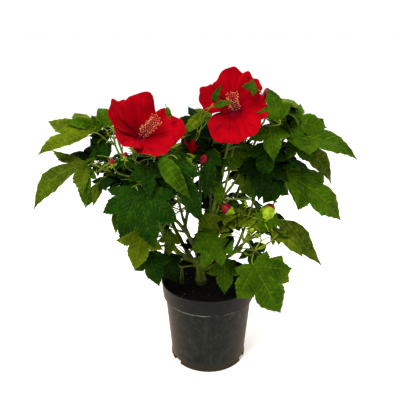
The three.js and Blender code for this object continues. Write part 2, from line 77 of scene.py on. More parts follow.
def hexColor(text):
    channels = [int(text[i : i + 2], 16) / 255 for i in (0, 2, 4)]
    return tuple(c / 12.92 if c < 0.04045 else ((c + 0.055) / 1.055) ** 2.4 for c in channels) + (1.0,)


def placeInScene(item):
    bpy.context.scene.collection.objects.link(item)
    return item


def startMaterial(name, roughness, specular=0.5):
    material = bpy.data.materials.new(name)
    material.use_nodes = True
    shader = material.node_tree.nodes["Principled BSDF"]
    shader.inputs["Roughness"].default_value = roughness
    shader.inputs["Specular IOR Level"].default_value = specular
    return material, material.node_tree, shader


# Sockets are set by number in `values`, where None leaves one alone, or by name. Each takes a link or value.
def addNode(tree, kind, settings=None, values=(), **named):
    node = tree.nodes.new(kind)
    for key, value in (settings or {}).items():
        setattr(node, key, value)
    for key, value in [*enumerate(values), *named.items()]:
        if isinstance(value, bpy.types.NodeSocket):
            tree.links.new(value, node.inputs[key])
        elif value is not None:
            node.inputs[key].default_value = value
    return node


def geometry(tree, kind, settings=None, values=(), **named):
    return addNode(tree, "GeometryNode" + kind, settings, values, **named).outputs[0]


def calculate(tree, operation, *values):
    return addNode(tree, "ShaderNodeMath", {"operation": operation}, values).outputs[0]


def anySize(tree, sizes, seed):
    values = (None, None, *sizes)
    return addNode(tree, "FunctionNodeRandomValue", {"data_type": "FLOAT"}, values, Seed=seed).outputs[1]


def calculateVector(tree, operation, *values, **named):
    return addNode(tree, "ShaderNodeVectorMath", {"operation": operation}, values, **named).outputs[0]


def mapRange(tree, value, low, high, atLow, atHigh, way="LINEAR"):
    limits = (value, low, high, atLow, atHigh)
    return addNode(tree, "ShaderNodeMapRange", {"interpolation_type": way}, limits).outputs[0]


def axisOf(tree, source, axis):
    return addNode(tree, "ShaderNodeSeparateXYZ", Vector=source).outputs[axis]


def coordinates(tree, source="Object", stretch=None):
    start = addNode(tree, "ShaderNodeTexCoord").outputs[source]
    if stretch is None:
        return start
    return addNode(tree, "ShaderNodeMapping", Vector=start, Scale=stretch).outputs["Vector"]


def noiseField(tree, where, scale, detail=3.0, roughness=0.55):
    noise = addNode(tree, "ShaderNodeTexNoise", Vector=where, Scale=scale, Detail=detail, Roughness=roughness)
    return noise.outputs["Fac"]


def rampOf(tree, field, stops):
    ramp = addNode(tree, "ShaderNodeValToRGB", Fac=field)
    band = ramp.color_ramp
    while len(band.elements) < len(stops):
        band.elements.new(0.5)
    for element, (place, color) in zip(band.elements, stops):
        element.position = place
        element.color = (color, color, color, 1) if isinstance(color, float) else hexColor(color)
    return ramp.outputs["Color"]


def mixColors(tree, share, first, second, blend="MIX"):
    pair = [hexColor(color) if isinstance(color, str) else color for color in (first, second)]
    settings = {"data_type": "RGBA", "blend_type": blend}
    return addNode(tree, "ShaderNodeMix", settings, (share, *[None] * 5, *pair)).outputs[2]


def paint(tree, shader, color, height, strength, distance):
    bump = addNode(tree, "ShaderNodeBump", Height=height, Strength=strength, Distance=distance)
    tree.links.new(color, shader.inputs["Base Color"])
    tree.links.new(bump.outputs["Normal"], shader.inputs["Normal"])


# Two colours in soft clouds, with fine relief over them: bark, bud, peat.
def mottledMaterial(name, dark, light, roughness, cloud, grain, depth, specular=0.5):
    material, tree, shader = startMaterial(name, roughness, specular)
    where = coordinates(tree)
    color = rampOf(tree, noiseField(tree, where, cloud), [(0.34, dark), (0.66, light)])
    paint(tree, shader, color, noiseField(tree, where, grain), 0.6, depth)
    return material


def buildPiece(name, points, faces, materials, picks=None, sharpPairs=None):
    mesh = bpy.data.meshes.new(name)
    mesh.from_pydata([tuple(p) for p in points], [], faces)
    for material in materials:
        mesh.materials.append(material)
    if picks is not None:
        mesh.polygons.foreach_set("material_index", picks)
    mesh.polygons.foreach_set("use_smooth", [True] * len(mesh.polygons))
    if sharpPairs is not None:
        ends = np.empty(len(mesh.edges) * 2, np.int64)
        mesh.edges.foreach_get("vertices", ends)
        ends = np.sort(ends.reshape(-1, 2), axis=1)
        wanted = np.sort(np.array(sharpPairs, np.int64).reshape(-1, 2), axis=1)
        size = len(mesh.vertices)
        sharp = np.isin(ends[:, 0] * size + ends[:, 1], wanted[:, 0] * size + wanted[:, 1])
        mesh.attributes.new("sharp_edge", "BOOLEAN", "EDGE").data.foreach_set("value", sharp)
    mesh.update()
    return placeInScene(bpy.data.objects.new(name, mesh))


def settle(piece, nodes):
    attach(piece, "root")
    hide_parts(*nodes)
    print(piece.name, len(piece.data.polygons), "faces")


# A Geometry Nodes tree with named inputs, and the mesh that it makes of a source object.
def startTree(name, inputs):
    tree = bpy.data.node_groups.new(name, "GeometryNodeTree")
    for way in ("INPUT", "OUTPUT"):
        tree.interface.new_socket("Geometry", in_out=way, socket_type="NodeSocketGeometry")
    for label, kind in inputs.items():
        tree.interface.new_socket(label, in_out="INPUT", socket_type="NodeSocket" + kind)
    return tree, tree.nodes.new("NodeGroupInput").outputs


def endTree(tree, shape, material):
    real = geometry(tree, "RealizeInstances", Geometry=shape)
    painted = geometry(tree, "SetMaterial", Geometry=real, Material=material)
    addNode(tree, "NodeGroupOutput", Geometry=painted)


def growPiece(name, source, tree, values):
    modifier = source.modifiers.new("grow", "NODES")
    modifier.node_group = tree
    for item in tree.interface.items_tree:
        if item.in_out == "INPUT" and item.name in values:
            modifier[item.identifier] = values[item.name]
    bpy.context.view_layer.update()
    graph = bpy.context.evaluated_depsgraph_get()
    grown = source.evaluated_get(graph)
    mesh = bpy.data.meshes.new_from_object(grown, preserve_all_data_layers=True, depsgraph=graph)
    mesh.name = name
    source.modifiers.remove(modifier)
    bpy.data.objects.remove(source)
    return placeInScene(bpy.data.objects.new(name, mesh))


# Open poly splines with a radius at each point, which the trees follow.
def curveSource(name, paths):
    curve = bpy.data.curves.new(name, "CURVE")
    curve.dimensions = "3D"
    for points, radii in paths:
        spline = curve.splines.new("POLY")
        spline.points.add(len(points) - 1)
        for place, point, radius in zip(spline.points, points, radii):
            place.co = (*(c * mm for c in point), 1)
            place.radius = radius * mm
    return placeInScene(bpy.data.objects.new(name, curve))


def smoothPath(points, step):
    points = np.array(points, float)
    if len(points) == 2:
        count = max(2, int(np.linalg.norm(points[1] - points[0]) / step))
        return [points[0] + (points[1] - points[0]) * k / count for k in range(count + 1)]
    padded = np.vstack([2 * points[0] - points[1], points, 2 * points[-1] - points[-2]])
    path = []
    for i in range(1, len(padded) - 2):
        a, b, c, d = padded[i - 1 : i + 3]
        square, cube = 2 * a - 5 * b + 4 * c - d, 3 * b - a - 3 * c + d
        count = max(2, int(np.linalg.norm(c - b) / step))
        for k in range(count):
            t = k / count
            path.append(0.5 * (2 * b + (c - a) * t + square * t**2 + cube * t**3))
    return path + [points[-1]]


studio = {
    "cameraPlace": (-17, -865, 650),
    "cameraDip": 19.8,  # degrees below level
    "lens": 43.2,
    "sensor": 36,
    "clip": (0.01, 1000),  # metres, as are all sizes and places below
    "floorSize": 400.0,
    "floorTone": 0.95,
    "roomGlow": 1.05,
    "filmGamma": 0.8,
    "aim": (0, 0, 0.32),
    "lamps": {  # place, size, power, tint
        "keyLamp": ((-0.7, -0.9, 1.9), 0.7, 36, (1, 0.98, 0.94)),
        "fillLamp": ((1.5, -1.0, 1.1), 1.2, 4, (1, 1, 1)),
        "backLamp": ((0.5, 1.2, 1.8), 0.9, 14, (1, 1, 0.97)),
        "sideLampLeft": ((-1.1, 0.35, 0.25), 0.5, 6, (1, 0.72, 0.42)),
        "sideLampRight": ((1.1, 0.35, 0.25), 0.5, 6, (1, 0.72, 0.42)),
    },
}


def buildStudio():
    scene = bpy.context.scene
    lens = bpy.data.cameras.new("camera")
    lens.lens, lens.sensor_width = studio["lens"], studio["sensor"]
    lens.clip_start, lens.clip_end = studio["clip"]
    camera = placeInScene(bpy.data.objects.new("camera", lens))
    camera.location = vec(studio["cameraPlace"])
    camera.rotation_euler = (math.radians(90 - studio["cameraDip"]), 0, 0)
    scene.camera = camera

    half = studio["floorSize"] / 2
    corners = [(-half, -half, 0), (half, -half, 0), (half, half, 0), (-half, half, 0)]
    paper, _, shader = startMaterial("palePaper", 0.95, 0.1)
    shader.inputs["Base Color"].default_value = (studio["floorTone"],) * 3 + (1,)
    floor = buildPiece("floor", corners, [(0, 1, 2, 3)], [paper])

    world = bpy.data.worlds.new("paleRoom")
    world.use_nodes = True
    glow = world.node_tree.nodes["Background"].inputs
    glow["Color"].default_value = (1, 1, 1, 1)
    glow["Strength"].default_value = studio["roomGlow"]
    scene.world = world
    for name, (place, size, power, tint) in studio["lamps"].items():
        light = bpy.data.lights.new(name, "AREA")
        light.size, light.energy, light.color = size, power, tint
        item = placeInScene(bpy.data.objects.new(name, light))
        item.location = place
        item.rotation_euler = (Vector(studio["aim"]) - Vector(place)).to_track_quat("-Z", "Y").to_euler()
    scene.view_settings.view_transform = "Standard"
    scene.view_settings.gamma = studio["filmGamma"]
    print("studio ready")


buildStudio()


# A form: the turn of its first lobe, the step to the next, how many there are, how much they shorten for each
# 100 degrees from the main vein, their fullness, and the share that a notch leaves uncut.
leafForms = {
    "maple": (-108, 54, 5, 0.45, 0.17, 0.5),
    "palm": (-108, 36, 6, 0.45, 0.15, 0.5),
    "folded": (-132, 44, 4, 0.35, 0.17, 0.5),
    "heart": (-110, 55, 5, 0.6, 0.18, 0.68),
    "broad": (-54, 54, 3, 0.6, 0.15, 0.65),
    "narrow": (-40, 40, 3, 1.5, 0.15, 0.5),
    "trident": (-60, 60, 3, 0.75, 0.14, 0.35),
    "blade": (-35, 35, 3, 1.3, 0.14, 0.7),
    "spear": (0, 0, 1, 0, 0.25, 0.5),
    "fan": (-62, 62, 3, 0.6, 0.15, 0.85),
}
# All but the thickness are shares of a blade's length.
leafStyle = {
    "thickness": 0.34,
    "lobeFold": 0.36,  # how far each lobe folds up about its vein
    "curl": 0.3,  # margins turned down
    "puff": 0.005,
    "tooth": 0.024,
    "teeth": (0.9, 0.35),  # long and short in turn
    "fullNotch": 45,  # degrees between lobes from which a notch is cut in full
    "fullBelly": 50,
    "veinFork": 0.62,  # where a side's rows start on the vein, as a share of the notch
    "tilt": 0.05,
    "keel": (0.0, 0.1),  # how far the two halves fold up
    "hollow": (0.15, 0.5),  # how far the margins hang
    "ripple": 0.042,
    "warp": (0.02, 0.06),
    "moreCamber": (-0.1, 0.25),  # radians
    "specular": 0.04,
    "sideVeins": 9.0,
    "quilting": 0.9,  # relief between the side veins
    "fine": {"rows": 12, "innerRows": 3, "columns": (0, 0.05, 0.35, 0.7, 1)},
    "plain": {"rows": 4, "innerRows": 1, "columns": (0, 0.55, 1)},
}
leafShapes = {}


# One side of one lobe: for each row its place on the vein and on the margin.
def lobeRows(form, lobes, index, side, grade):
    style, (belly, notch) = leafStyle, leafForms[form][4:]
    tooth, fork = style["tooth"], style["veinFork"]
    turn, reach = lobes[index]
    notchX = notchY = 0.0
    fullness = belly * reach
    slope = 1e9
    rows = []
    if 0 <= index + side < len(lobes):
        nextTurn, nextReach = lobes[index + side]
        between = abs(nextTurn - turn)
        half = math.radians(between / 2)
        depth = 1 - (1 - notch) * min(1, between / style["fullNotch"])
        cut = depth * 2 * reach * nextReach * math.cos(half) / (reach + nextReach)
        notchX, notchY = cut * math.cos(half), cut * math.sin(half)
        fullness *= min(1, between / style["fullBelly"]) ** 0.6
        slope = math.tan(half)
        for k in range(grade["innerRows"]):
            t = k / grade["innerRows"]
            rows.append((fork * notchX * t, notchX * t, notchY * t))
    for k in range(grade["rows"] + 1):
        t = k / grade["rows"]
        x = lerp(notchX, reach, t)
        y = min(notchY * (1 - t) ** 1.3 + fullness * 4 * t * (1 - t) ** 1.7, x * slope)
        if grade is style["fine"] and k % 2 and y + tooth < x * slope:
            x += tooth * 0.8 * (1 - t**2)
            y += tooth * style["teeth"][k % 4 // 2] * (1 - t**2)
        rows.append((lerp(fork * notchX, reach, t**1.1), x, y))
    return rows


# A flat blade of length 1 along u: its points, faces, places on the leaf's map, and margin.
def leafShape(form, fine):
    if (form, fine) in leafShapes:
        return leafShapes[form, fine]
    style = leafStyle
    first, step, count, drop = leafForms[form][:4]
    turns = [first + i * step for i in range(count)]
    lobes = [(turn, 1 - drop * abs(turn) / 100) for turn in turns]
    grade = style["fine" if fine else "plain"]
    points, faces, marks, known = [], [], [], {}
    for index, turn in enumerate(turns):
        cosTurn, sinTurn = math.cos(math.radians(turn)), math.sin(math.radians(turn))
        for side in (-1, 1):
            grid = []
            rows = lobeRows(form, lobes, index, side, grade)
            for k, (veinX, edgeX, edgeY) in enumerate(rows):
                line = []
                for share in grade["columns"]:
                    x, y = lerp(veinX, edgeX, share), edgeY * share
                    u, v = cosTurn * x - sinTurn * side * y, sinTurn * x + cosTurn * side * y
                    key = (round(u, 4), round(v, 4))
                    if key not in known:
                        quilt = style["puff"] * (1 if k % 2 else -1) * math.sin(math.pi * share)
                        known[key] = len(points)
                        points.append((u, v, style["lobeFold"] * y - style["curl"] * y * share**3 + quilt))
                    line.append(known[key])
                grid.append(line)
            for row in range(len(grid) - 1):
                for column in range(len(grid[0]) - 1):
                    spots = [(row, column), (row + 1, column), (row + 1, column + 1), (row, column + 1)]
                    corners = [grid[i][j] for i, j in spots]
                    kept = [i for i in range(4) if corners[i] != corners[i - 1]]
                    face = [corners[i] for i in kept]
                    mark = [(rows[spots[i][0]][0], grade["columns"][spots[i][1]]) for i in kept]
                    if len(set(face)) > 2 and len(set(face)) == len(face):
                        faces.append(tuple(face if side > 0 else face[::-1]))
                        marks.append(mark if side > 0 else mark[::-1])
    uses = {}
    for face in faces:
        for a, b in zip(face, face[1:] + face[:1]):
            uses[min(a, b), max(a, b)] = uses.get((min(a, b), max(a, b)), 0) + 1
    rim = [pair for pair, count in uses.items() if count == 1]
    onRim = {c for pair in rim for c in pair}
    inner = [i for i in range(len(points)) if i not in onRim]
    below = {i: i for i in onRim} | {i: len(points) + rank for rank, i in enumerate(inner)}
    leafShapes[form, fine] = {
        "points": np.array(points), "faces": faces, "marks": marks, "rim": rim, "inner": inner,
        "lift": np.array([0.0 if i in onRim else 1.0 for i in range(len(points))]),
        "under": [tuple(below[i] for i in face[::-1]) for face in faces],
    }
    return leafShapes[form, fine]


# base colours (shaded side of the mottle, lit side), vein, underside
leafTones = {
    "deep": ("0a1e02", "162c03", "2c420c", "22380a"),
    "dark": ("122e02", "214204", "44620f", "34551a"),
    "mid": ("2a4202", "425e02", "688018", "4d6e1a"),
    "fresh": ("435403", "5f6e05", "8c9430", "6a7c2a"),
    "olive": ("364404", "4c5c05", "7a8a2c", "5a6c26"),
}
heapLists = ("points", "faces", "picks", "marks", "rim")
leafHeaps = {tone: {"count": 0, "nodes": set(), **{key: [] for key in heapLists}} for tone in leafTones}


# A leaf from its base to its tip, bent by `camber` along it and by `bend` to one side.
def addLeaf(node, form, tone, base, tip, face, dice, camber=0.12, bend=0.0, roll=0.0, fine=True):
    style, shape = leafStyle, leafShape(form, fine)
    u, v, w = (shape["points"] * 1.0).T
    spread, phase = dice.uniform(-1, 1), dice.uniform(*anyPhase)
    keel, hollow = dice.uniform(*style["keel"]), dice.uniform(*style["hollow"])
    arch = 4 * np.clip(u, 0, 1) * (1 - np.clip(u, 0, 1))
    w += style["tilt"] * spread * v + keel * np.abs(v) - hollow * v**2
    wave = style["ripple"] * np.sin(7 * u + phase) * np.sin(6 * v + 2 * phase)
    w += wave + dice.uniform(*style["warp"]) * v * np.sin(4 * u + phase)
    v = v + bend * arch
    turn = 8 * camber + dice.uniform(*style["moreCamber"])
    angle = turn / 2 - turn * u
    chord = 2 * math.sin(turn / 2) / turn
    along = (math.sin(turn / 2) - np.sin(angle)) / turn - w * np.sin(angle)
    rise = (np.cos(angle) - math.cos(turn / 2)) / turn + w * np.cos(angle)
    base, tip = np.array(base, float), np.array(tip, float)
    length = np.linalg.norm(tip - base)
    forward = (tip - base) / length
    up = unit(np.array(face, float) - forward * np.dot(face, forward))
    side = np.cross(up, forward)
    up, side = up * math.cos(roll) - side * math.sin(roll), side * math.cos(roll) + up * math.sin(roll)
    size = length / chord
    grid = base + size * (along[:, None] * forward + v[:, None] * side * chord + rise[:, None] * up)
    normal = -np.sin(angle)[:, None] * forward + np.cos(angle)[:, None] * up
    lift = normal * shape["lift"][:, None] * style["thickness"] / 2
    points = np.vstack([grid + lift, (grid - lift)[shape["inner"]]])
    heap = leafHeaps[tone]
    start = heap["count"]
    heap["points"].append(points)
    heap["faces"] += [tuple(start + i for i in face) for face in shape["faces"] + shape["under"]]
    heap["picks"] += [0] * len(shape["faces"]) + [1] * len(shape["under"])
    for mark in shape["marks"] + [mark[::-1] for mark in shape["marks"]]:
        heap["marks"] += [(onVein * size, share) for onVein, share in mark]
    heap["rim"] += [(start + a, start + b) for a, b in shape["rim"]]
    heap["count"] += len(points)
    heap["nodes"].add(node)


# Midrib, side veins and the quilted blade between them, drawn along each lobe by its own map.
def bladeMaterial(name, shade, lit, vein, roughness, veinShare):
    material, tree, shader = startMaterial(name, roughness, leafStyle["specular"])
    where, half = coordinates(tree), leafStyle["sideVeins"] / 2
    color = rampOf(tree, noiseField(tree, where, 26), [(0.34, shade), (0.66, lit)])
    flecks = rampOf(tree, noiseField(tree, where, 90), [(0.5, 0.0), (0.8, 0.35)])
    color = mixColors(tree, flecks, color, vein)
    leafMap = addNode(tree, "ShaderNodeUVMap", {"uv_map": "leafMap"}).outputs[0]
    fold = calculate(tree, "PINGPONG", axisOf(tree, leafMap, "X"), half)
    puffed = mapRange(tree, fold, 0.0, half, 0.0, 1.0, "SMOOTHSTEP")
    sideVein = rampOf(tree, puffed, [(0.0, 0.3), (0.08, 0.0)])
    midribStops = [(0.0, 0.9), (0.05, 0.25), (0.1, 0.0), (0.95, 0.0), (1.0, 0.3)]
    midrib = rampOf(tree, axisOf(tree, leafMap, "Y"), midribStops)
    lines = mixColors(tree, 1.0, sideVein, midrib, "LIGHTEN")
    share = mixColors(tree, 1.0, lines, (veinShare, veinShare, veinShare, 1), "MULTIPLY")
    relief = mixColors(tree, 0.35, puffed, noiseField(tree, where, 420))
    paint(tree, shader, mixColors(tree, share, color, vein), relief, leafStyle["quilting"], 0.0016)
    return material


def buildLeaves():
    for tone, (shade, lit, vein, under) in leafTones.items():
        heap = leafHeaps[tone]
        blade = bladeMaterial(tone + "Blade", shade, lit, vein, 0.45, 0.55)
        underside = bladeMaterial(tone + "Underside", lit, under, vein, 0.65, 0.45)
        points, skins = np.vstack(heap["points"]) * mm, [blade, underside]
        piece = buildPiece("leaves_" + tone, points, heap["faces"], skins, heap["picks"], heap["rim"])
        marks = np.array(heap["marks"], np.float32).ravel()
        piece.data.uv_layers.new(name="leafMap").data.foreach_set("uv", marks)
        settle(piece, sorted(heap["nodes"]))


# A limb stands on a place, or on a share of another limb's length. Its turn is in degrees round +Z from +X.
# `arch` bends it: over 0 it runs out before it climbs, under 0 it climbs first. `foot` and `tip` are radii.
def limbOf(start, turn, reach, rise, arch, foot, tip, flare=0.0):
    return {"start": start, "move": (turn, reach, rise), "arch": arch, "radii": (foot, tip, flare)}


stemFoot = 156
limbs = {
    "trunk": limbOf((-15, 0, stemFoot), 180, 2, 52, 0, 9.6, 7.8, 1.5),
    "bough_left": limbOf(("trunk", 0.95), 200, 100, 180, 0.8, 5.8, 2.8),
    "bough_left_high": limbOf(("trunk", 1), 195, 80, 120, -0.5, 4.8, 2.4),
    "bough_centre": limbOf(("bough_left_high", 0.5), 40, 30, 150, 0.2, 3.4, 2.2),
    "bough_right": limbOf(("trunk", 1), 0, 55, 255, 0.1, 5.4, 2.8),
    "bough_right_low": limbOf(("trunk", 0.55), 335, 90, 80, 0.2, 3.8, 2.6),
    "bough_back": limbOf(("trunk", 0.8), 90, 90, 160, 0.3, 4.8, 2.8),
    "bough_back_left": limbOf(("trunk", 0.6), 135, 125, 160, 0.4, 4.8, 2.8),
    "bough_back_right": limbOf(("trunk", 0.9), 45, 120, 140, 0.2, 4.8, 2.8),
    "small_shoot": limbOf((-55, 0, stemFoot), 0, 2, 37, 0, 4.3, 2.8, 1.4),
}
# Thinner green shoots between the boughs, with no solid of their own.
shoots = [
    limbOf(("bough_right", 0.3), 350, 45, 165, 0.4, 2.6, 1.7),
    limbOf(("bough_right", 0.35), 80, 15, 155, 0, 2.3, 1.5),
    limbOf(("bough_left_high", 0.35), 200, 35, 170, 0.4, 2.8, 1.8),
    limbOf(("bough_left", 0.7), 300, 20, 145, 0, 2.4, 1.6),
    limbOf(("bough_right_low", 0.75), 20, 50, 155, 0.3, 2.6, 1.7),
    limbOf(("bough_right", 0.5), 355, 80, 150, 0.4, 2.6, 1.7),
    limbOf(("bough_right", 0.65), 15, 100, 70, 0.3, 2.2, 1.5),
    limbOf(("bough_left", 0.85), 170, 60, 120, 0.4, 2.6, 1.7),
    limbOf(("bough_left", 0.85), 185, 75, 60, 0.4, 2.2, 1.5),
    limbOf(("bough_left_high", 0.45), 200, 45, 35, 0.5, 2.0, 1.4),
    limbOf(("trunk", 0.9), 320, 50, 30, 0.2, 2.2, 1.5),
]
boughs = [name for name in limbs if name.startswith("bough")]


def stepFrom(start, move):
    turn, reach, rise = move
    flat = (reach * math.cos(math.radians(turn)), reach * math.sin(math.radians(turn)))
    return np.array(start, float) + (*flat, rise)


def onLimb(limb, share):
    rule = limbs[limb] if isinstance(limb, str) else limb
    start = onLimb(*rule["start"]) if len(rule["start"]) == 2 else rule["start"]
    turn, reach, rise = rule["move"]
    early, late = math.sin(share * math.pi / 2), 1 - math.cos(share * math.pi / 2)
    outward, upward = (early, late) if rule["arch"] > 0 else (late, early)
    out = lerp(share, outward, abs(rule["arch"]))
    up = lerp(share, upward, abs(rule["arch"]))
    return stepFrom(start, (turn, reach * out, rise * up))


def limbLine(limb, step):
    return smoothPath([onLimb(limb, i / 4) for i in range(5)], step)


def nearestOnBoughs(point, highest):
    best, found = 1e9, None
    for limb in boughs:
        for place in limbLine(limb, twigStyle["searchStep"]):
            away = np.linalg.norm(place - point) + (twigStyle["tooHigh"] if place[2] > highest else 0)
            if away < best:
                best, found = away, place
    return found


caneStyle = {
    "seed": 7,
    "step": 3.0,
    "firstNode": (6, 20),
    "nodeSpacing": 34,  # swollen leaf nodes along a cane
    "nodeLength": 4,
    "nodeSwell": 0.22,
    "flareFade": 5,
    "woodyFrom": (0.156, 0.185),  # metres: the foot turns brown where it meets the soil
    "values": {"Sides": 12, "Relief": 0.55 * mm, "Grain": 260.0, "Seed": 3.0},
}
twigStyle = {
    "searchStep": 8.0,
    "tooHigh": 60,  # added to the distance of places above the twig
    "bends": (0.4, 0.35),  # how far each end keeps its direction, as a share of the span
    "values": {"Sides": 6, "Relief": 0.0, "Grain": 200.0, "Seed": 5.0},
}
columnValues = {"Sides": 12, "Relief": 0.3 * mm, "Grain": 400.0, "Seed": 2.0}
twigPaths = []


def buildCaneTree():
    tree, given = startTree("canesFromPaths", {
        "Sides": "Int", "Relief": "Float", "Grain": "Float", "Seed": "Float", "Material": "Material"})
    profile = geometry(tree, "CurvePrimitiveCircle", Resolution=given["Sides"], Radius=1.0)
    radius = geometry(tree, "InputRadius")
    line = (given["Geometry"], profile)
    tube = geometry(tree, "CurveToMesh", None, line, Scale=radius, **{"Fill Caps": True})
    place = geometry(tree, "InputPosition")
    stretched = calculateVector(tree, "MULTIPLY", place, (1, 1, 0.3))
    noise = addNode(tree, "ShaderNodeTexNoise", {"noise_dimensions": "4D"}, Vector=stretched,
                    W=given["Seed"], Scale=given["Grain"], Detail=2.0)
    centred = calculate(tree, "SUBTRACT", noise.outputs["Fac"], 0.5)
    height = calculate(tree, "MULTIPLY", centred, given["Relief"])
    normal = geometry(tree, "InputNormal")
    push = calculateVector(tree, "SCALE", normal, Scale=height)
    moved = geometry(tree, "SetPosition", Geometry=tube, Offset=push)
    smooth = geometry(tree, "SetShadeSmooth", Geometry=moved)
    endTree(tree, smooth, given["Material"])
    return tree


caneTree = buildCaneTree()


def limbPath(limb, dice):
    style, (foot, tip, flare) = caneStyle, limb["radii"]
    points = limbLine(limb, style["step"])
    reach = np.cumsum([0] + [np.linalg.norm(b - a) for a, b in zip(points, points[1:])])
    first, spacing = dice.uniform(*style["firstNode"]), style["nodeSpacing"]
    radii = []
    for d in reach:
        t = d / reach[-1]
        fromNode = abs((d - first + spacing / 2) % spacing - spacing / 2)
        swell = 1 + style["nodeSwell"] * math.exp(-((fromNode / style["nodeLength"]) ** 2))
        radii.append((lerp(foot, tip, t) + flare * math.exp(-style["flareFade"] * t)) * swell)
    return points, radii


def buildCanes():
    dice = random.Random(caneStyle["seed"])
    paths = [limbPath(limb, dice) for limb in [*limbs.values(), *shoots]]
    bark, tree, shader = startMaterial("caneBark", 0.5, 0.35)
    where = coordinates(tree, stretch=(1, 1, 0.25))
    tone = rampOf(tree, noiseField(tree, where, 70), [(0.3, "34480a"), (0.52, "54680e"), (0.75, "7a8622")])
    woody = mapRange(tree, axisOf(tree, coordinates(tree), "Z"), *caneStyle["woodyFrom"], 0.8, 0.0)
    paint(tree, shader, mixColors(tree, woody, tone, "38401a"), noiseField(tree, where, 600), 0.6, 0.0006)
    values = {**caneStyle["values"], "Material": bark}
    settle(growPiece("canes", curveSource("canePaths", paths), caneTree, values), list(limbs))


def buildTwigs():
    skin = mottledMaterial("twigSkin", "52660e", "869626", 0.5, 40, 500, 0.0004, 0.35)
    values = {**twigStyle["values"], "Material": skin}
    settle(growPiece("twigs", curveSource("twigPaths", twigPaths), caneTree, values), sorted(masses))


# A bent twig that leaves its start along `pull` and comes to its end along `arrive`.
def addTwig(start, pull, end, arrive, thick, thin, steps=8):
    start, end = np.array(start, float), np.array(end, float)
    span = np.linalg.norm(end - start)
    leave, close = twigStyle["bends"]
    a = start + unit(np.array(pull, float)) * span * leave
    b = end - unit(np.array(arrive, float)) * span * close
    points = []
    for k in range(steps + 1):
        t = k / steps
        points.append((1 - t) ** 3 * start + 3 * t * (1 - t) ** 2 * a + 3 * t * t * (1 - t) * b + t**3 * end)
    twigPaths.append((points, [lerp(thick, thin, k / steps) for k in range(steps + 1)]))
    return points


# The way a blade's upper side looks.
facing = {
    "front": (0, -1, 0.3),
    "level": (0, -0.8, 0.6),
    "flat": (0, -0.5, 0.85),
    "left": (-0.3, -0.8, 0.5),
    "right": (0.2, -0.8, 0.5),
}
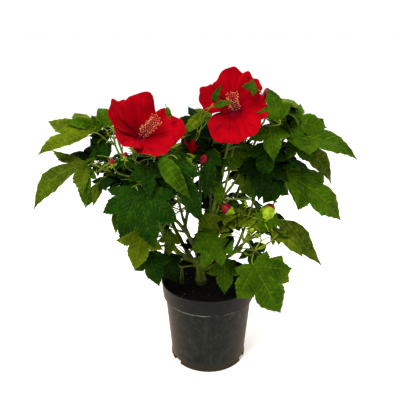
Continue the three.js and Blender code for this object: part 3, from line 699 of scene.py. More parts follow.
# Each mass: the limb and the share of it that its hub stands off, the step to the hub, how many leaves the
# branching rule adds, the tones it draws from, and its large leaves. A large leaf: form, facing and tone, the
# step from hub to joint, the blade's heading, fall and length, and its camber and bend. A step is
# (turn, reach, rise).
masses = {
    "foliage_upper_left": ("bough_left", 1, (160, 65, 75), 14, "mid fresh deep olive", [
        ("folded left fresh", (200, 40, 15), (200, 20, 100), 0.06),
        ("broad level mid", (110, 15, 20), (135, -35, 50)),
        ("broad level deep", (20, 20, 0), (30, 20, 55)),
        ("narrow level mid", (180, 20, 20), (190, -10, 70)),
    ]),
    "foliage_mid_left": ("bough_left", 1, (175, 75, 30), 12, "deep mid dark olive", [
        ("trident left olive", (205, 35, 5), (190, 40, 130), 0.12, -0.1),
        ("spear front mid", (170, 30, 5), (60, -30, 50)),
        ("narrow front mid", (215, 35, 5), (255, 70, 75)),
        ("broad level dark", (90, 10, 10), (150, -40, 50)),
    ]),
    "foliage_inner_left": ("bough_left", 1, (155, 55, 5), 12, "mid deep dark fresh", [
        ("spear front olive", (235, 55, 5), (240, 60, 50)),
        ("maple level dark", (300, 30, 10), (340, 40, 70)),
        ("narrow level mid", (200, 30, 0), (210, 50, 70)),
    ]),
    "foliage_front_left": ("bough_left", 1, (255, 20, 5), 6, "deep dark", [
        ("palm front dark", (265, 55, 5), (320, 70, 105), 0.06),
        ("spear front olive", (230, 65, -30), (260, 75, 45)),
    ]),
    "foliage_low_left": ("bough_left", 0.75, (240, 20, -5), 7, "mid deep fresh", [
        ("broad front fresh", (250, 25, -5), (235, 70, 80)),
    ]),
    "foliage_rim_left": ("bough_left", 0.5, (220, 25, 0), 6, "deep mid", [
        ("broad front dark", (240, 25, -5), (310, 65, 70)),
    ]),
    "foliage_over_pot_left": ("small_shoot", 1, (210, 10, 10), 4, "deep", [
        ("fan front deep", (210, 30, 30), (325, 60, 60)),
    ]),
    "foliage_by_bough": ("bough_left_high", 0.75, (190, 10, -5), 4, "olive mid deep", [
        ("broad front olive", (300, 15, -20), (250, 75, 45)),
    ]),
    "foliage_under_left_bloom": ("bough_left", 1, (180, 10, 30), 16, "deep deep dark mid", []),
    "foliage_front_centre": ("bough_left", 1, (300, 30, 55), 7, "deep dark mid", [
        ("narrow left dark", (310, 65, 10), (350, 70, 120), 0.05),
        ("spear left mid", (285, 55, 15), (335, 50, 90)),
        ("maple front dark", (250, 30, -10), (285, 60, 55)),
    ]),
    "foliage_between_blooms": ("bough_centre", 1, (120, 15, 25), 14, "deep deep dark mid", [
        ("maple level deep", (10, 25, 30), (180, 65, 95)),
        ("narrow level fresh", (325, 40, 50), (215, 30, 75)),
        # small leaves before the blooms, with no solid of their own
        ("spear level mid", (245, 95, 70), (300, 60, 25)),
        ("spear level mid", (295, 90, 70), (355, -10, 35)),
        ("spear left dark", (295, 90, 75), (20, -65, 35)),
    ]),
    "foliage_centre": ("bough_right", 0.85, (120, 20, 5), 14, "deep dark mid olive", [
        ("narrow level dark", (225, 20, 10), (235, 75, 95)),
        ("spear front mid", (235, 15, -40), (305, 75, 65)),
        ("spear left dark", (265, 10, -20), (230, 85, 60)),
        ("fan level mid", (330, 25, 10), (350, 45, 65)),
    ]),
    "foliage_low_centre": ("bough_right", 0.35, (300, 30, 0), 10, "mid deep olive", [
        ("palm front mid", (265, 45, 0), (225, 50, 65)),
        ("broad front olive", (200, 30, 30), (340, 55, 50)),
    ]),
    "foliage_over_pot": ("bough_right_low", 0.5, (295, 15, 10), 6, "deep dark", [
        ("broad front mid", (250, 15, 5), (270, 70, 65)),
    ]),
    "foliage_low_right": ("bough_right_low", 1, (305, 30, -5), 7, "mid fresh", [
        ("heart front mid", (265, 35, -10), (345, 60, 105), 0.05),
        ("fan front fresh", (5, 20, -25), (350, 35, 60)),
    ]),
    "foliage_right_spray": ("bough_right_low", 1, (15, 35, 35), 9, "fresh mid olive", [
        ("narrow flat fresh", (325, 20, -5), (350, 40, 85), 0.06),
        ("spear level olive", (15, 45, 5), (350, 50, 120), 0.02),
    ]),
    "foliage_mid_right": ("bough_right", 1, (350, 75, -50), 12, "mid deep dark", [
        ("blade right mid", (345, 25, -5), (350, 40, 150), 0.05),
        ("maple level deep", (180, 10, 10), (250, 60, 80)),
    ]),
    "foliage_right_behind": ("bough_right", 1, (15, 105, -15), 8, "mid deep fresh", [
        ("spear level olive", (350, 30, -10), (5, 50, 105), 0.12, 0.1),
        ("broad level mid", (300, 20, 10), (330, 40, 70)),
    ]),
    "foliage_upper_right": ("bough_right", 1, (355, 75, 25), 12, "mid fresh deep", [
        ("blade flat mid", (315, 15, -5), (345, 20, 150), 0.05),
        ("broad level mid", (330, 20, 0), (0, 5, 80)),
        ("broad level mid", (250, 25, 0), (280, 60, 65)),
    ]),
    "foliage_top_right": ("bough_right", 1, (335, 65, 40), 9, "mid deep fresh", [
        ("broad right mid", (300, 40, 0), (130, -60, 60), 0.05),
        # before the right bloom, with no solid of its own
        ("broad right mid", (230, 30, 50), (200, -10, 30)),
    ]),
    "foliage_under_right_bloom": ("bough_right", 1, (20, 50, -45), 16, "deep dark mid olive", [
        ("broad level dark", (310, 35, 35), (240, 70, 70)),
        ("fan right dark", (330, 55, -30), (210, 50, 60)),
        ("fan left olive", (230, 20, -15), (310, 80, 60)),
        ("narrow level dark", (260, 30, 0), (270, 70, 75)),
    ]),
    "foliage_inner_right": ("bough_right_low", 1, (50, 30, 45), 12, "olive mid deep", [
        ("fan front olive", (175, 40, 15), (330, 70, 45)),
        ("fan front mid", (325, 35, 20), (190, 70, 50)),
    ]),
    "foliage_back_left": ("bough_back_left", 1, (120, 20, 45), 26, "mid mid fresh deep", []),
    "foliage_back_centre": ("bough_back", 1, (75, 20, 50), 28, "mid mid fresh deep", []),
    "foliage_back_right": ("bough_back_right", 1, (35, 25, 45), 26, "mid mid fresh deep", []),
    "foliage_back_low_left": ("bough_back_left", 0.65, (80, 25, 10), 18, "mid deep dark", []),
    "foliage_back_low_right": ("bough_back_right", 0.65, (95, 35, 15), 18, "mid deep dark", []),
}
sprayRule = {
    "seed": 41,
    "length": (34, 70),
    "stalk": (16, 40),
    "fall": (5, 60),  # degrees under level
    "forms": ("fan", "broad", "maple", "narrow", "broad"),
    "backGrowth": 1.15,
    "alongTwig": (0.4, 1),
    "stray": (-0.7, 0.7),  # radians
    "frontmost": -0.3,  # a leaf that would point further forward is turned to the back
    "stalkOut": 0.85,
    "stalkRise": (0.1, 0.5),
    "halfWidth": 0.4,
    "roll": (-0.3, 0.3),
    "tries": 10,
    "perTwig": 4,
    "twigTurn": (-0.4, 0.4),
    "twigReach": (12, 34),
    "backReach": (12, 46),
    "twigRise": (-18, 26),
    "twigFront": 8,  # a twig's tip further before its hub is moved behind it
    "stemDrop": 10,  # the mass's stem leaves a bough this far under the hub, where one is near
    "stemRise": (0, 0, 30),
    "stemRadii": (2.3, 1.7),
    "twigRadii": (1.6, 1.1),
    "stalkRadii": (1.0, 0.75),
    "coarseSteps": 5,
    "clearOfBloom": 9,
    "clearOfPot": 5,
    "lowest": 166,
    "before": 12,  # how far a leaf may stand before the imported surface
    "loose": 1,  # corners of a leaf that may lie outside the masses
    "margin": 2.5,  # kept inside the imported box
}
# The stalks of the large leaves.
stalkStyle = {
    "from": (5, 6, 7, 8),  # points of the mass's stem
    "radius": 0.8,
    "perLength": 0.008,
    "taper": 0.7,
    "intoBlade": 1.5,
    "underBlade": 0.6,
    "rise": (0, 0, 14),
}


def hubOf(node):
    limb, share, move = masses[node][:3]
    return stepFrom(onLimb(limb, share), move)


def solidTree(names):
    points, faces = [], []
    for name in names:
        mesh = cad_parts[name].data
        start = len(points)
        points += [v.co.copy() for v in mesh.vertices]
        faces += [tuple(start + i for i in polygon.vertices) for polygon in mesh.polygons]
    return BVHTree.FromPolygons(points, faces)


massTree = solidTree(masses)
bloomTree = solidTree(["bloom_left", "bloom_right"])
potTree = solidTree(["pot", "soil"])
eye = vec(studio["cameraPlace"])


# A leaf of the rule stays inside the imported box, behind the blooms and off the pot. Seen from the front it
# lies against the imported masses, so the crown stays open wherever they leave a gap.
def isWelcome(corners):
    rule, backed = sprayRule, 0
    low, high = cadBox
    for corner in corners:
        point = vec(corner)
        away, distance = (point - eye).normalized(), (point - eye).length
        inside = (low[i] + rule["margin"] * mm <= point[i] <= high[i] - rule["margin"] * mm for i in range(3))
        if not all(inside) or point.z < rule["lowest"] * mm:
            return False
        bloom, cover = (tree.ray_cast(eye, away) for tree in (bloomTree, massTree))
        if bloom[0] is not None and bloom[3] > distance:
            return False
        if bloomTree.find_nearest(point)[3] < rule["clearOfBloom"] * mm:
            return False
        if potTree.find_nearest(point)[3] < rule["clearOfPot"] * mm:
            return False
        backed += cover[0] is not None and cover[3] < distance + rule["before"] * mm
    return backed >= len(corners) - rule["loose"]


def addLargeLeaf(node, hub, stem, leaf, dice):
    look, joint, (heading, fall, length), *bends = leaf
    form, face, tone = look.split()
    base, drop = stepFrom(hub, joint), math.radians(fall)
    tip = stepFrom(base, (heading, length * math.cos(drop), -length * math.sin(drop)))
    addLeaf(node, form, tone, base, tip, facing[face], dice, *bends)
    style, forward = stalkStyle, unit(tip - base)
    start = stem[dice.choice(style["from"])]
    thick = style["radius"] + style["perLength"] * np.linalg.norm(tip - base)
    end = base + forward * style["intoBlade"] - unit(np.array(facing[face], float)) * style["underBlade"]
    pull = (end - start) * (1, 1, 0.2) + style["rise"]
    addTwig(start, pull, end, forward * (1, 1, 0.4), thick, thick * style["taper"])


# One leaf of the rule, tried at several places along its twig until one is welcome.
def tryLeaf(node, twig, around, tones, isBack, dice):
    rule, (hub, tip, turn) = sprayRule, twig
    for _ in range(rule["tries"]):
        root = hub + (tip - hub) * dice.uniform(*rule["alongTwig"])
        heading = turn + around + dice.uniform(*rule["stray"])
        stalk = dice.uniform(*rule["stalk"])
        length = dice.uniform(*rule["length"]) * (rule["backGrowth"] if isBack else 1)
        out = np.array((math.cos(heading), math.sin(heading), 0))
        if not isBack and out[1] < rule["frontmost"]:
            out[1] *= -1
        fall = math.radians(dice.uniform(*rule["fall"]))
        base = root + out * stalk * rule["stalkOut"] + (0, 0, stalk * dice.uniform(*rule["stalkRise"]))
        end = base + out * length * math.cos(fall) - (0, 0, length * math.sin(fall))
        side, middle = np.cross(out, (0, 0, 1)) * length * rule["halfWidth"], (base + end) / 2
        if isWelcome((base, middle + side, middle - side, lerp(base, end, 0.8), end)):
            face = (0.45 * out[0], 0.45 * out[1] + (0.0 if isBack else -0.3), 0.75)
            form, tone = dice.choice(rule["forms"]), dice.choice(tones.split())
            roll = dice.uniform(*rule["roll"])
            addLeaf(node, form, tone, base, end, face, dice, roll=roll, fine=False)
            addTwig(root, out * 20 + (0, 0, 16), base + out, out, *rule["stalkRadii"], rule["coarseSteps"])
            return 1
    return 0


def growMasses():
    rule = sprayRule
    for order, (node, (_, _, _, count, tones, leaves)) in enumerate(masses.items()):
        dice, isBack = random.Random(rule["seed"] + order), "_back_" in node
        hub = hubOf(node)
        root = nearestOnBoughs(hub, hub[2] - rule["stemDrop"])
        pull = (hub - root) * (1, 1, 0.3) + rule["stemRise"]
        stem = addTwig(root, pull, hub, (0, 0, 1), *rule["stemRadii"])
        for leaf in leaves:
            addLargeLeaf(node, hub, stem, leaf, dice)
        made, twigs = 0, []
        for k in range(count * 3):
            if made >= count:
                break
            if k % rule["perTwig"] == 0:
                turn = k * goldenTurn + dice.uniform(*rule["twigTurn"])
                sideways = dice.uniform(*rule["backReach" if isBack else "twigReach"])
                rise = dice.uniform(*rule["twigRise"])
                tip = hub + (math.cos(turn) * sideways, math.sin(turn) * sideways, rise)
                if not isBack and tip[1] < hub[1] - rule["twigFront"]:
                    tip[1] = 2 * hub[1] - tip[1]
                twigs.append((hub, tip, turn))
            made += tryLeaf(node, twigs[-1], k % rule["perTwig"] * goldenTurn, tones, isBack, dice)
        for start, tip, _ in twigs:
            way = tip - start
            addTwig(start, way + (0, 0, 6), tip, way, *rule["twigRadii"], rule["coarseSteps"])
    print("leaves grown:", sum(len(heap["points"]) for heap in leafHeaps.values()))


growMasses()
buildLeaves()


# The flowers. The throat is a step from the bough's end, and the way it opens a turn and a lift. A petal: its
# turn about the throat, reach as a share of the radius, half its spread in degrees. A column's points are
# (side, up, out). Stamens: how many, and where on the column they start.
blooms = {
    "bloom_left": {
        "node": "bloom_left", "on": "bough_left", "throat": (230, 20, 80), "opens": (300, 45),
        "radius": 62, "depth": 50, "cone": 34, "stamens": (190, 0.36),
        "petals": [(10, 1.04, 56), (114, 0.97, 62), (164, 1.04, 50), (226, 0.96, 52), (300, 1.04, 52)],
        "column": [(0, 0, -4), (2, 1, 14), (7, 3, 34), (12, 4, 52), (14, 5, 60)],
    },
    "bloom_right": {
        "node": "bloom_right", "on": "bough_right", "throat": (285, 25, 50), "opens": (265, 30),
        "radius": 62, "depth": 30, "cone": 34, "stamens": (150, 0.3),
        "petals": [(266, 1.14, 66), (350, 0.9, 42), (52, 0.96, 38), (102, 1.02, 46), (164, 1.02, 40)],
        "column": [(0, 0, -4), (0, 1, 10), (-2, 4, 22), (-4, 8, 34), (-5, 10, 40)],
    },
    "bloom_closing": {
        "node": "foliage_between_blooms", "on": "bough_centre", "throat": (200, 10, -10), "opens": (60, 55),
        "radius": 26, "depth": 26, "cone": 20, "stamens": (30, 0.5),
        "petals": [(30, 1.0, 44), (100, 1.1, 40), (170, 0.9, 44), (260, 0.8, 50)],
        "column": [(0, 0, -2), (0, 1, 6), (1, 2, 14), (2, 3, 22)],
    },
}
petalStyle = {
    "seed": 60,
    "rows": 24,
    "columns": 26,
    "thickness": 0.5,
    "claw": 0.025,  # where a petal starts, as a share of its reach
    "shoulder": (0.33, 0.05),  # how far the corners and the middle of each side fall back
    "scallops": (0.04, 0.025),
    "footSpread": 0.72,
    "leastSpread": 64,  # degrees at the throat, so that the cup is closed there
    "sway": 0.05,
    "lift": 4,
    "overlap": 2.6,  # one side of each petal rides over the next
    "reflex": 50,
    "reflexFrom": 0.72,
    "ruffle": 4.2,
    "ripples": (0.55, 0.3),  # finer waves, as shares of the ruffle
    "grooves": 0.35,
    "jag": 1.6,
}
# The column of each flower, its stamens and its stigmas (how many, and where they start).
columnStyle = {
    "step": 2.0,
    "radii": (2.6, 1.2),
    "stamenLength": 10.5,
    "antherSize": 0.95,
    "stigmas": (5, 0.5),
    "stigmaLength": 4,
    "stigmaSize": 1.5,
    "filament": {"Radius Bottom": 0.28 * mm, "Radius Top": 0.2 * mm},
    "lean": 0.3,
    "sizes": (0.55, 1.1),
}


def bloomFrame(bloom):
    turn, lift = bloom["opens"]
    out = stepFrom((0, 0, 0), (turn, math.cos(math.radians(lift)), math.sin(math.radians(lift))))
    side = unit(np.array((1.0, 0, 0)) - out * out[0])
    return stepFrom(onLimb(bloom["on"], 1), bloom["throat"]), side, np.cross(out, side), out


# A sheet of points made into a thin closed body: upper and lower layer joined at a sharp rim.
def closeSheet(grid, thickness):
    rows, columns = grid.shape[:2]
    normal = np.cross(np.gradient(grid, axis=0), np.gradient(grid, axis=1))
    normal /= np.linalg.norm(normal, axis=2, keepdims=True) + 1e-9
    lift = np.ones((rows, columns, 1))
    lift[0], lift[-1], lift[:, 0], lift[:, -1] = 0, 0, 0, 0
    upper = (grid + normal * lift * thickness / 2).reshape(-1, 3)
    lower = (grid - normal * lift * thickness / 2).reshape(-1, 3)
    index = np.arange(rows * columns).reshape(rows, columns)
    inside = index[1:-1, 1:-1]
    below = index.copy()
    below[1:-1, 1:-1] = rows * columns + np.arange(inside.size).reshape(inside.shape)
    faces = []
    for i in range(rows - 1):
        for j in range(columns - 1):
            faces.append((index[i, j], index[i + 1, j], index[i + 1, j + 1], index[i, j + 1]))
            faces.append((below[i, j], below[i, j + 1], below[i + 1, j + 1], below[i + 1, j]))
    rim = []
    for line in (index[0], index[-1], index[:, 0], index[:, -1]):
        rim += list(zip(line[:-1], line[1:]))
    source = np.concatenate([index.ravel(), inside.ravel()])
    return np.vstack([upper, lower[inside.ravel()]]), np.array(faces).tolist(), np.array(rim).tolist(), source


def petalGrid(bloom, turn, reach, spread, dice):
    style = petalStyle
    throat, side, up, out = bloomFrame(bloom)
    p = np.linspace(0, 1, style["rows"])[:, None]
    q = np.linspace(-1, 1, style["columns"])[None, :]
    radius, phase = bloom["radius"], dice.uniform(*anyPhase)
    (corner, middle), (coarse, fine) = style["shoulder"], style["scallops"]
    scallop = 1 + coarse * np.sin(5 * q + phase) + fine * np.sin(13 * q + 2 * phase)
    rimShare = 1 - corner * np.abs(q) ** 2.6 - middle * q**2
    r = radius * reach * (style["claw"] + (1 - style["claw"]) * p * rimShare * scallop)
    half = math.radians(spread) * lerp(style["footSpread"], 1, np.clip(p * 1.6, 0, 1))
    half = np.maximum(half, math.radians(style["leastSpread"]) * (1 - p * 0.55))
    angle = math.radians(turn) + q * half + style["sway"] * np.sin(3 * p + phase)
    share = r / radius
    z = bloom["depth"] * (1.1 * share**0.92 - 0.1 * share**3) + style["lift"]
    z += style["overlap"] * q * np.clip(p * 2, 0, 1)
    turned = np.clip(p - style["reflexFrom"], 0, 1) ** 2
    z -= style["reflex"] * turned * (0.6 + 0.4 * np.cos(2 * q + phase))
    second, third = style["ripples"]
    wave = np.sin(5.2 * q + phase) + second * np.sin(9.1 * q - phase + 2.5 * p)
    wave = wave + third * np.sin(17 * q + 3 * phase)
    z += style["ruffle"] * wave * p**2.6
    z += style["grooves"] * np.sin(31 * q + phase) * p * (1.2 - p) * 2
    r = r + style["jag"] * np.sin(4.1 * q - phase) * p**3
    grids = np.broadcast_arrays(r * np.cos(angle), r * np.sin(angle), z)
    x, y, z = (grid[..., None] for grid in grids)
    return throat + x * side + y * up + z * out, p, q


def petalMaterial():
    material, tree, shader = startMaterial("petalRed", 0.7, 0.03)
    streaks = noiseField(tree, coordinates(tree, "UV", (26, 2.2, 1)), 1.0)
    clouds = rampOf(tree, noiseField(tree, coordinates(tree), 38, 2.0), [(0.35, "62000a"), (0.65, "a6001a")])
    red = rampOf(tree, streaks, [(0.3, "7c000e"), (0.62, "a20018"), (0.8, "b2021f")])
    along = axisOf(tree, coordinates(tree, "UV"), "Y")
    eyeZone = rampOf(tree, along, [(0.0, 1.0), (0.1, 0.75), (0.24, 0.0)])
    red = mixColors(tree, eyeZone, mixColors(tree, 0.35, red, clouds), "94163c")
    paint(tree, shader, red, streaks, 0.8, 0.0008)
    return material


def buildStamenTree():
    style = columnStyle
    tree, given = startTree("stamensOnColumn", {
        "Count": "Int", "Start": "Float", "Length": "Float", "Anther": "Float", "Seed": "Int",
        "Filament": "Material", "Pollen": "Material"})
    trimmed = geometry(tree, "TrimCurve", None, (given["Geometry"], None, given["Start"]))
    line = (trimmed, given["Count"])
    stations = addNode(tree, "GeometryNodeCurveToPoints", {"mode": "COUNT"}, line).outputs
    turn = calculate(tree, "MULTIPLY", geometry(tree, "InputIndex"), goldenTurn)
    outward = addNode(tree, "ShaderNodeVectorRotate", {"rotation_type": "AXIS_ANGLE"},
                      Vector=stations["Normal"], Axis=stations["Tangent"], Angle=turn).outputs[0]
    lean = calculateVector(tree, "SCALE", stations["Tangent"], Scale=style["lean"])
    heading = calculateVector(tree, "ADD", outward, lean)
    way = addNode(tree, "FunctionNodeAlignRotationToVector", {"axis": "Z"}, Vector=heading).outputs[0]
    stalk = geometry(tree, "MeshCone", Vertices=4, Depth=given["Length"], **style["filament"])
    stalk = geometry(tree, "SetMaterial", Geometry=stalk, Material=given["Filament"])
    head = geometry(tree, "MeshIcoSphere", Radius=given["Anther"], Subdivisions=1)
    raised = addNode(tree, "ShaderNodeCombineXYZ", Z=given["Length"]).outputs[0]
    head = geometry(tree, "Transform", Geometry=head, Translation=raised, Scale=(1, 0.7, 0.8))
    head = geometry(tree, "StoreNamedAttribute", {"data_type": "BOOLEAN", "domain": "FACE"},
                    Geometry=head, Name="pollenHead", Value=True)
    both = tree.nodes.new("GeometryNodeJoinGeometry")
    tree.links.new(stalk, both.inputs[0])
    tree.links.new(head, both.inputs[0])
    size = anySize(tree, style["sizes"], given["Seed"])
    spread = geometry(tree, "InstanceOnPoints", Points=stations["Points"], Instance=both.outputs[0],
                      Rotation=way, Scale=size)
    real = geometry(tree, "RealizeInstances", Geometry=spread)
    base = geometry(tree, "SetMaterial", Geometry=real, Material=given["Filament"])
    flag = geometry(tree, "InputNamedAttribute", {"data_type": "BOOLEAN"}, Name="pollenHead")
    done = geometry(tree, "SetMaterial", Geometry=base, Selection=flag, Material=given["Pollen"])
    addNode(tree, "NodeGroupOutput", Geometry=done)
    return tree


def buildPetals(name, bloom, red, dice):
    points, faces, rims, marks, start = [], [], [], [], 0
    for k, petal in enumerate(bloom["petals"]):
        grid, p, q = petalGrid(bloom, *petal, dice)
        sheet, sheetFaces, rim, source = closeSheet(grid, petalStyle["thickness"])
        u, v = np.broadcast_arrays(q * 0.5 + 0.5 + k, p)
        marks.append(np.stack([u.ravel()[source], v.ravel()[source]], axis=1))
        points.append(sheet)
        faces += [tuple(start + c for c in face) for face in sheetFaces]
        rims += [(start + a, start + b) for a, b in rim]
        start += len(sheet)
    piece = buildPiece(name, np.vstack(points) * mm, faces, [red], sharpPairs=rims)
    corners = np.empty(len(piece.data.loops), np.int64)
    piece.data.loops.foreach_get("vertex_index", corners)
    marks = np.vstack(marks)[corners].ravel().astype(np.float32)
    piece.data.uv_layers.new(name="petalMap").data.foreach_set("uv", marks)
    settle(piece, [bloom["node"]])


def buildBlooms():
    style, red = columnStyle, petalMaterial()
    filament = mottledMaterial("filamentRed", "7a0416", "a81430", 0.5, 300, 900, 0.0002)
    pollen = mottledMaterial("pollen", "b8883c", "ecd090", 0.7, 500, 1400, 0.0002)
    stigma = mottledMaterial("stigmaRed", "a80c20", "d02038", 0.5, 400, 900, 0.0002)
    stamenTree = buildStamenTree()
    for order, (name, bloom) in enumerate(blooms.items()):
        kind = name.removeprefix("bloom_")
        buildPetals("petals_" + kind, bloom, red, random.Random(petalStyle["seed"] + order))
        throat, side, up, out = bloomFrame(bloom)
        path = [throat + x * side + y * up + z * out for x, y, z in bloom["column"]]
        path = smoothPath(path, style["step"])
        radii = [lerp(*style["radii"], i / len(path)) for i in range(len(path))]
        stamens = (*bloom["stamens"], style["stamenLength"], style["antherSize"], 3 + order, pollen)
        stigmas = (*style["stigmas"], style["stigmaLength"], style["stigmaSize"], 9, stigma)
        column = curveSource("columnPath", [(path, radii)])
        settle(growPiece("column_" + kind, column, caneTree, {**columnValues, "Material": filament}),
               [bloom["node"]])
        for part, line, rule in (("stamens_", path, stamens), ("stigmas_", path[-2:], stigmas)):
            count, start, length, size, seed, tip = rule
            values = {"Count": count, "Start": start, "Length": length * mm, "Anther": size * mm,
                      "Seed": seed, "Filament": filament, "Pollen": tip}
            source = curveSource("columnPath", [(line, [1.0] * len(line))])
            settle(growPiece(part + kind, source, stamenTree, values), [bloom["node"]])


buildBlooms()


# Buds off the hubs of the masses: the mass, the step to where the calyx sits, the way it points (turn, lift),
# its length and width, how much red shows at the tip, and the number of bracts.
buds = [
    ("foliage_inner_right", (180, 30, -5), (165, 40), 42, 22, 0.4, 14),
    ("foliage_inner_right", (310, 25, 0), (20, 60), 36, 28, 0.15, 14),
    ("foliage_top_right", (90, 5, 25), (0, 85), 24, 13, 0.7, 8),
    ("foliage_inner_left", (285, 55, 45), (0, 80), 14, 8, 0.5, 8),
    ("foliage_inner_left", (265, 60, 35), (180, 75), 14, 9, 0.6, 8),
    ("foliage_inner_right", (0, 5, 50), (0, 85), 12, 6, 0.0, 8),
    ("foliage_inner_right", (5, 40, 30), (10, 75), 13, 6, 0.0, 8),
    ("foliage_inner_right", (160, 15, 20), (170, 80), 12, 6, 0.0, 8),
    ("foliage_inner_right", (250, 25, -20), (300, 40), 16, 9, 0.0, 12),
    ("foliage_inner_right", (290, 20, -30), (250, 30), 15, 8, 0.0, 12),
    ("foliage_over_pot", (300, 30, -15), (0, 60), 11, 5, 0.0, 6),
    ("foliage_back_left", (10, 70, 60), (120, 80), 22, 9, 0.4, 8),
    ("foliage_back_right", (140, 15, 45), (45, 80), 21, 9, 0.5, 8),
    ("foliage_between_blooms", (310, 30, -45), (290, 50), 26, 16, 0.8, 8),
]
budStyle = {
    "seed": 5,
    "sides": 15,
    "rings": (0, 0.06, 0.14, 0.24, 0.36, 0.48, 0.6, 0.72, 0.84, 0.94, 1.0),
    "ribs": (5, 0.06),
    "bractProfile": [(0, 0.9), (0.4, 1.2), (0.8, 0.7), (1, 0.12)],
    "bractRibs": (2, 0.25),
    "bractSides": 5,
    "bractTurn": (-0.15, 0.15),
    "bractLength": (0.8, 1.1),  # shares of the bud's width
    "bractLift": (-0.3, 0.5),
    "stalkDrop": 15,
    "stalkRadii": (1.9, 1.5),
}
# The green cup behind each flower.
calyxStyle = {
    "length": 24,
    "profile": [(0, 2.6), (0.15, 5), (0.4, 8.36), (0.75, 9.9), (1, 11)],
    "ribs": (5, 0.08),
    "sides": 20,
    "bracts": 10,
    "bractProfile": [(0, 0.8), (0.4, 1.1), (0.8, 0.6), (1, 0.15)],
    "bractFoot": (4, 3),  # out from the stalk and along it
    "bractReach": (13, 9),
    "stalkRise": (0, 0, 20),
    "stalkRadii": (2.6, 2.4),
}


# A pointed body of revolution along an axis, with ribs. Its rings run from the foot to the tip, and it is red
# from the share `edge` of its length on.
def addTurned(heap, base, tip, profile, ribs, sides, edge=1):
    base, tip = np.array(base, float), np.array(tip, float)
    axis, (count, depth) = tip - base, ribs
    forward = unit(axis)
    side = unit(np.cross(forward, (0.3, 0.9, 0.2)))
    across = np.cross(forward, side)
    start, last = len(heap["points"]), len(heap["points"]) + (len(profile) - 1) * sides
    for t, radius in profile:
        for k in range(sides):
            turn = 2 * math.pi * k / sides
            r = radius * (1 + depth * math.cos(count * turn))
            heap["points"].append(base + axis * t + r * (math.cos(turn) * side + math.sin(turn) * across))
    for i, (t, _) in enumerate(profile[1:]):
        for k in range(sides):
            a, b = start + i * sides + k, start + i * sides + (k + 1) % sides
            heap["faces"].append((a, b, b + sides, a + sides))
            heap["picks"].append(int(t > edge))
    heap["faces"] += [tuple(range(start, start + sides))[::-1], tuple(range(last, last + sides))]
    heap["picks"] += [0, int(1 > edge)]
    return forward, side, across


def buildBuds():
    style, heap = budStyle, {"points": [], "faces": [], "picks": []}
    dice, ribs = random.Random(style["seed"]), style["bractRibs"]
    for mass, step, (turn, lift), length, width, red, bracts in buds:
        half = width / 2
        base = stepFrom(hubOf(mass), step)
        flat, up = (length * way(math.radians(lift)) for way in (math.cos, math.sin))
        tip = stepFrom(base, (turn, flat, up))
        foot = nearestOnBoughs(base, base[2] - style["stalkDrop"])
        profile = []
        for t in style["rings"]:
            belly = math.sin(math.pi * min(1, t * 0.9 + 0.08)) ** 0.8
            profile.append((t, half * (0.22 + 0.78 * belly) * (1 if t < 0.98 else 0.4)))
        forward, side, across = addTurned(heap, base, tip, profile, style["ribs"], style["sides"], 1 - red)
        for k in range(bracts):
            turn = 2 * math.pi * k / bracts + dice.uniform(*style["bractTurn"])
            out = math.cos(turn) * side + math.sin(turn) * across
            reach = width * dice.uniform(*style["bractLength"])
            root = base + out * half * 0.3
            point = root + out * reach * 0.85 + forward * reach * dice.uniform(*style["bractLift"])
            addTurned(heap, root, point, style["bractProfile"], ribs, style["bractSides"])
        addTwig(foot, (base - foot) * (1, 1, 1.5), base, forward, *style["stalkRadii"])
    calyx = calyxStyle
    (footOut, footUp), (reachOut, reachUp) = calyx["bractFoot"], calyx["bractReach"]
    for bloom in blooms.values():
        throat, _, _, out = bloomFrame(bloom)
        base = throat - out * bloom["cone"]
        tip = base + out * calyx["length"]
        _, side, across = addTurned(heap, base, tip, calyx["profile"], calyx["ribs"], calyx["sides"])
        for k in range(calyx["bracts"]):
            turn = 2 * math.pi * k / calyx["bracts"]
            away = math.cos(turn) * side + math.sin(turn) * across
            root = base + away * footOut + out * footUp
            point = root + away * reachOut + out * reachUp
            addTurned(heap, root, point, calyx["bractProfile"], ribs, style["bractSides"])
        foot = nearestOnBoughs(base, base[2] - style["stalkDrop"])
        pull = (base - foot) * (1, 1, 0.2) + calyx["stalkRise"]
        addTwig(foot, pull, base + out * 2, out, *calyx["stalkRadii"])
    green = mottledMaterial("budGreen", "6c860a", "a4b81c", 0.5, 120, 700, 0.0004, 0.35)
    red = mottledMaterial("budRed", "6a0612", "960d24", 0.5, 120, 700, 0.0004, 0.35)
    piece = buildPiece("buds", np.array(heap["points"]) * mm, heap["faces"], [green, red], heap["picks"])
    masses = ("inner_right", "low_right", "upper_right", "inner_left")
    settle(piece, ["foliage_" + name for name in masses])


potStyle = {
    "height": 172,
    "rimRadius": 95,
    "bandRadius": 92,
    "bandFoot": 137,
    "bodyRadius": 87,  # just under the band
    "footRadius": 76,
    "lipRadius": 77.5,
    "wall": 1.6,
    "floor": 2.4,
    "segments": 144,
    "sharpFrom": 32,  # degrees
    "notches": 3,
    "notchSize": (22, 8, 8),  # width, depth, height
    "firstNotch": -55,
    "earthTo": (0.004, 0.022),  # metres, as are the two below
    "darkBand": (0.136, 0.139),
    # the heights of a painted highlight along the step under the rim band
    "paintedHighlight": (0.117, 0.157),
}


